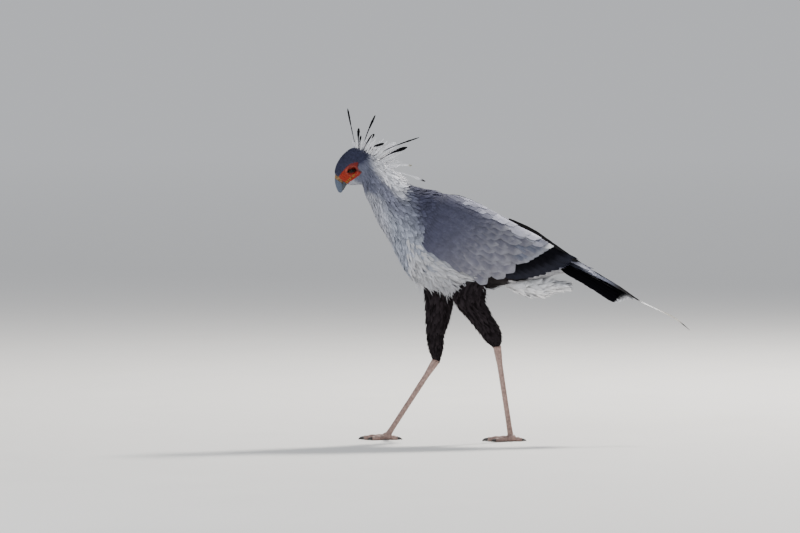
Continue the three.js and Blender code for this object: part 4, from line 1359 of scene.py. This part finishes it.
def lids(side, name):
    """Upper and lower lid: shells over the eye that leave an almond open."""
    across = np.linspace(-1, 1, 41)
    b = np.array([0, 0.0, 0.06, 0.14, 0.3, 0.5, 0.75, 1.0])
    radius = np.array([-0.0006, 0.0004, 0.0014, 0.0017, 0.0017, 0.0016, 0.0013, 0.0006]) + EYE_RADIUS
    places, faces, tints = [], [], []
    for upper in (1, -1):
        inner = np.stack([across * LID_OPEN[0], upper * almond(across) * (1.0 if upper > 0 else 0.8)], -1)
        rim = np.sqrt(np.maximum(1 - across ** 2, 0))
        outer = np.stack([across * LID_EDGE[0], upper * LID_EDGE[1] * rim], -1)
        flat = mix(inner[None], outer[None], b[:, None, None]) @ EYE_TURN
        deep = np.sqrt(np.maximum(radius[:, None] ** 2 - np.sum(flat ** 2, -1), 1e-7))
        fold = 0.0005 * np.sin(b[:, None] * 26) * (b[:, None] > 0.2)
        grid = np.stack([EYE[0] + flat[..., 0], side * (EYE[1] + deep + fold), EYE[2] + flat[..., 1]], -1)
        quads = grid_faces(1, len(b), 41) + len(places) * grid[..., 0].size
        faces.append(quads if upper * side > 0 else quads[:, ::-1])
        places.append(grid.reshape(-1, 3))
        colour = mix(FACE_RED, LID_DARK, 0.5 + 0.5 * np.sin(b * 9)[:, None, None])
        dark = np.maximum(band(b, 0.10)[:, None, None], eye_dark(flat[..., 0], flat[..., 1])[..., None])
        tints.append(mix(colour, EYE_RIM, dark).reshape(-1, 3))
    shells = [np.concatenate(part) for part in (places, faces, tints)]
    piece(f"lids_{name}", shells[0], shells[1], "face_skin", [], BARE, shells[2])


def lashes(side, name):
    random = np.random.default_rng(SEEDS["lashes"])
    coat = Coat()
    half = np.array([0.00035, 0.00026, 0.00006])
    for share in np.linspace(-0.92, 0.92, LASHES):
        x, z = np.array([share * LID_OPEN[0], almond(share) + 0.0006]) @ EYE_TURN
        y = math.sqrt((EYE_RADIUS + 0.0013) ** 2 - x * x - z * z)
        root = np.array([EYE[0] + x, side * (EYE[1] + y), EYE[2] + z])
        along = unit(np.array([share * 0.8 - 0.1, side * 1.0, 0.30 + random.uniform(-0.15, 0.2)]))
        tip = root + along * random.uniform(0.007, 0.011)
        path = [root, (root + tip) / 2 + np.array([0, 0, -0.0009]), tip]
        grid, normal = blade(path, half, np.array([1.0, 0, 0]), 5, 3)
        coat.add(grid, normal, np.broadcast_to(LASH_BLACK, grid.shape), (0.98, 0.5), 0.008, 0.0003)
    coat.build(f"lashes_{name}", "plumage_black", [], DARK_PLUME)


# Bill
def bill():
    cere, upper, lower = (Loft(rows, 10).rings(60, 40) for rows in (CERE, BILL, LOWER_BILL))
    ahead, up = cere[..., 0] - NOSTRIL[0], cere[..., 2] - NOSTRIL[1]
    hole = np.hypot(ahead / NOSTRIL_SIZE[0], up / NOSTRIL_SIZE[1])
    cere[..., 1] *= 1 - 0.35 * np.exp(-hole ** 4)
    piece("cere_skin", *tube(cere), "cere_skin", ["cere"], CERE_HORN)
    piece("beak_upper", *tube(upper), "bill_horn", ["bill_upper"], HORN)
    piece("beak_lower", *tube(lower), "bill_horn", ["bill_lower"], LOWER_HORN)


# Claws
def claws():
    for side, name in SIDES.items():
        for kind, turn, length, radius, claw in TOES:
            path, radii, ahead = toe_path(side, turn, length, radius, 90)
            end, along = path[-1], unit(path[-1] - path[-2])
            flat = unit(np.array([along[0], along[1], 0]))
            t = np.linspace(0, 1, 24)
            start = end + along * 0.00035
            fall = np.interp(t, [0, 0.3, 0.6, 0.85, 1], [0, 0, 0.12, 0.42, 0.72])
            line = start + flat * (claw * t)[:, None] - np.array([0, 0, 1]) * (start[2] * fall)[:, None]
            thick = radii[-1] * np.interp(t, [0, 0.3, 0.6, 0.85, 1], [0.78, 0.74, 0.56, 0.34, 0.08])
            across = np.cross(ahead, [0, 0, 1.0])
            rings = along_path(line, thick, thick * 0.8, across, 20)
            rings[..., 2] = np.maximum(rings[..., 2], 0.0002)
            piece(f"nail_{name}_{kind}", *tube(rings), "claw_horn", [f"claw_{name}_{kind}"], CLAW)


# Floor, light and camera
def stage():
    mesh = bpy.data.meshes.new("floor")
    corners = [(x * FLOOR_REACH, y * FLOOR_REACH, 0) for x, y in ((-1, -1), (1, -1), (1, 1), (-1, 1))]
    mesh.from_pydata(corners, [], [(0, 1, 2, 3)])
    floor = bpy.data.objects.new("floor", mesh)
    bpy.context.scene.collection.objects.link(floor)
    material, tree, shader = shader_of("floor")
    feed(tree, shader, {"Base Color": FLOOR, "Roughness": ramp(tree, noise(tree, 3), 0.3, 0.7, 0.55, 0.65)})
    away = add(tree, "VectorMath", {0: add(tree, "TexCoord")["Object"]}, operation="LENGTH")["Value"]
    glow = add(tree, "Emission", {"Color": SKY, "Strength": SKY_STRENGTH})["Emission"]
    share = ramp(tree, away, *FLOOR_FADE, 0, 1)
    surface = add(tree, "MixShader", {"Fac": share, 1: shader.outputs["BSDF"], 2: glow})["Shader"]
    feed(tree, tree.nodes["Material Output"], {"Surface": surface})
    mesh.materials.append(material)
    world = bpy.data.worlds.new("world")
    bpy.context.scene.world = world
    world.use_nodes = True
    background = world.node_tree.nodes["Background"]
    feed(world.node_tree, background, {"Color": SKY, "Strength": SKY_STRENGTH})
    for name, place, power, size, colour in LIGHTS:
        light = bpy.data.lights.new(name, "AREA")
        light.energy, light.size, light.color = power, size, colour
        lamp = bpy.data.objects.new(name, light)
        lamp.location = place
        lamp.rotation_euler = (LIGHTS_AIM - Vector(place)).to_track_quat("-Z", "Y").to_euler()
        bpy.context.scene.collection.objects.link(lamp)


def camera():
    data = bpy.data.cameras.new("camera")
    data.lens, data.sensor_width = LENS, SENSOR
    away = VIEW_WIDTH * LENS / SENSOR
    x, z = VIEW_CENTRE[0] + OFFSET[0], VIEW_CENTRE[1] + OFFSET[2]
    data.clip_end = CLIP_END
    thing = bpy.data.objects.new("camera", data)
    thing.location = (x, -away, CAMERA_HIGH)
    thing.rotation_euler = (Vector((x, 0, z)) - thing.location).to_track_quat("-Z", "Y").to_euler()
    bpy.context.scene.collection.objects.link(thing)
    bpy.context.scene.camera = thing


whole_skin()
body_coat()
flank_fluff()
wings()
tail()
undertail()
thighs()
crest()
eyes()
bill()
claws()
stage()
camera()
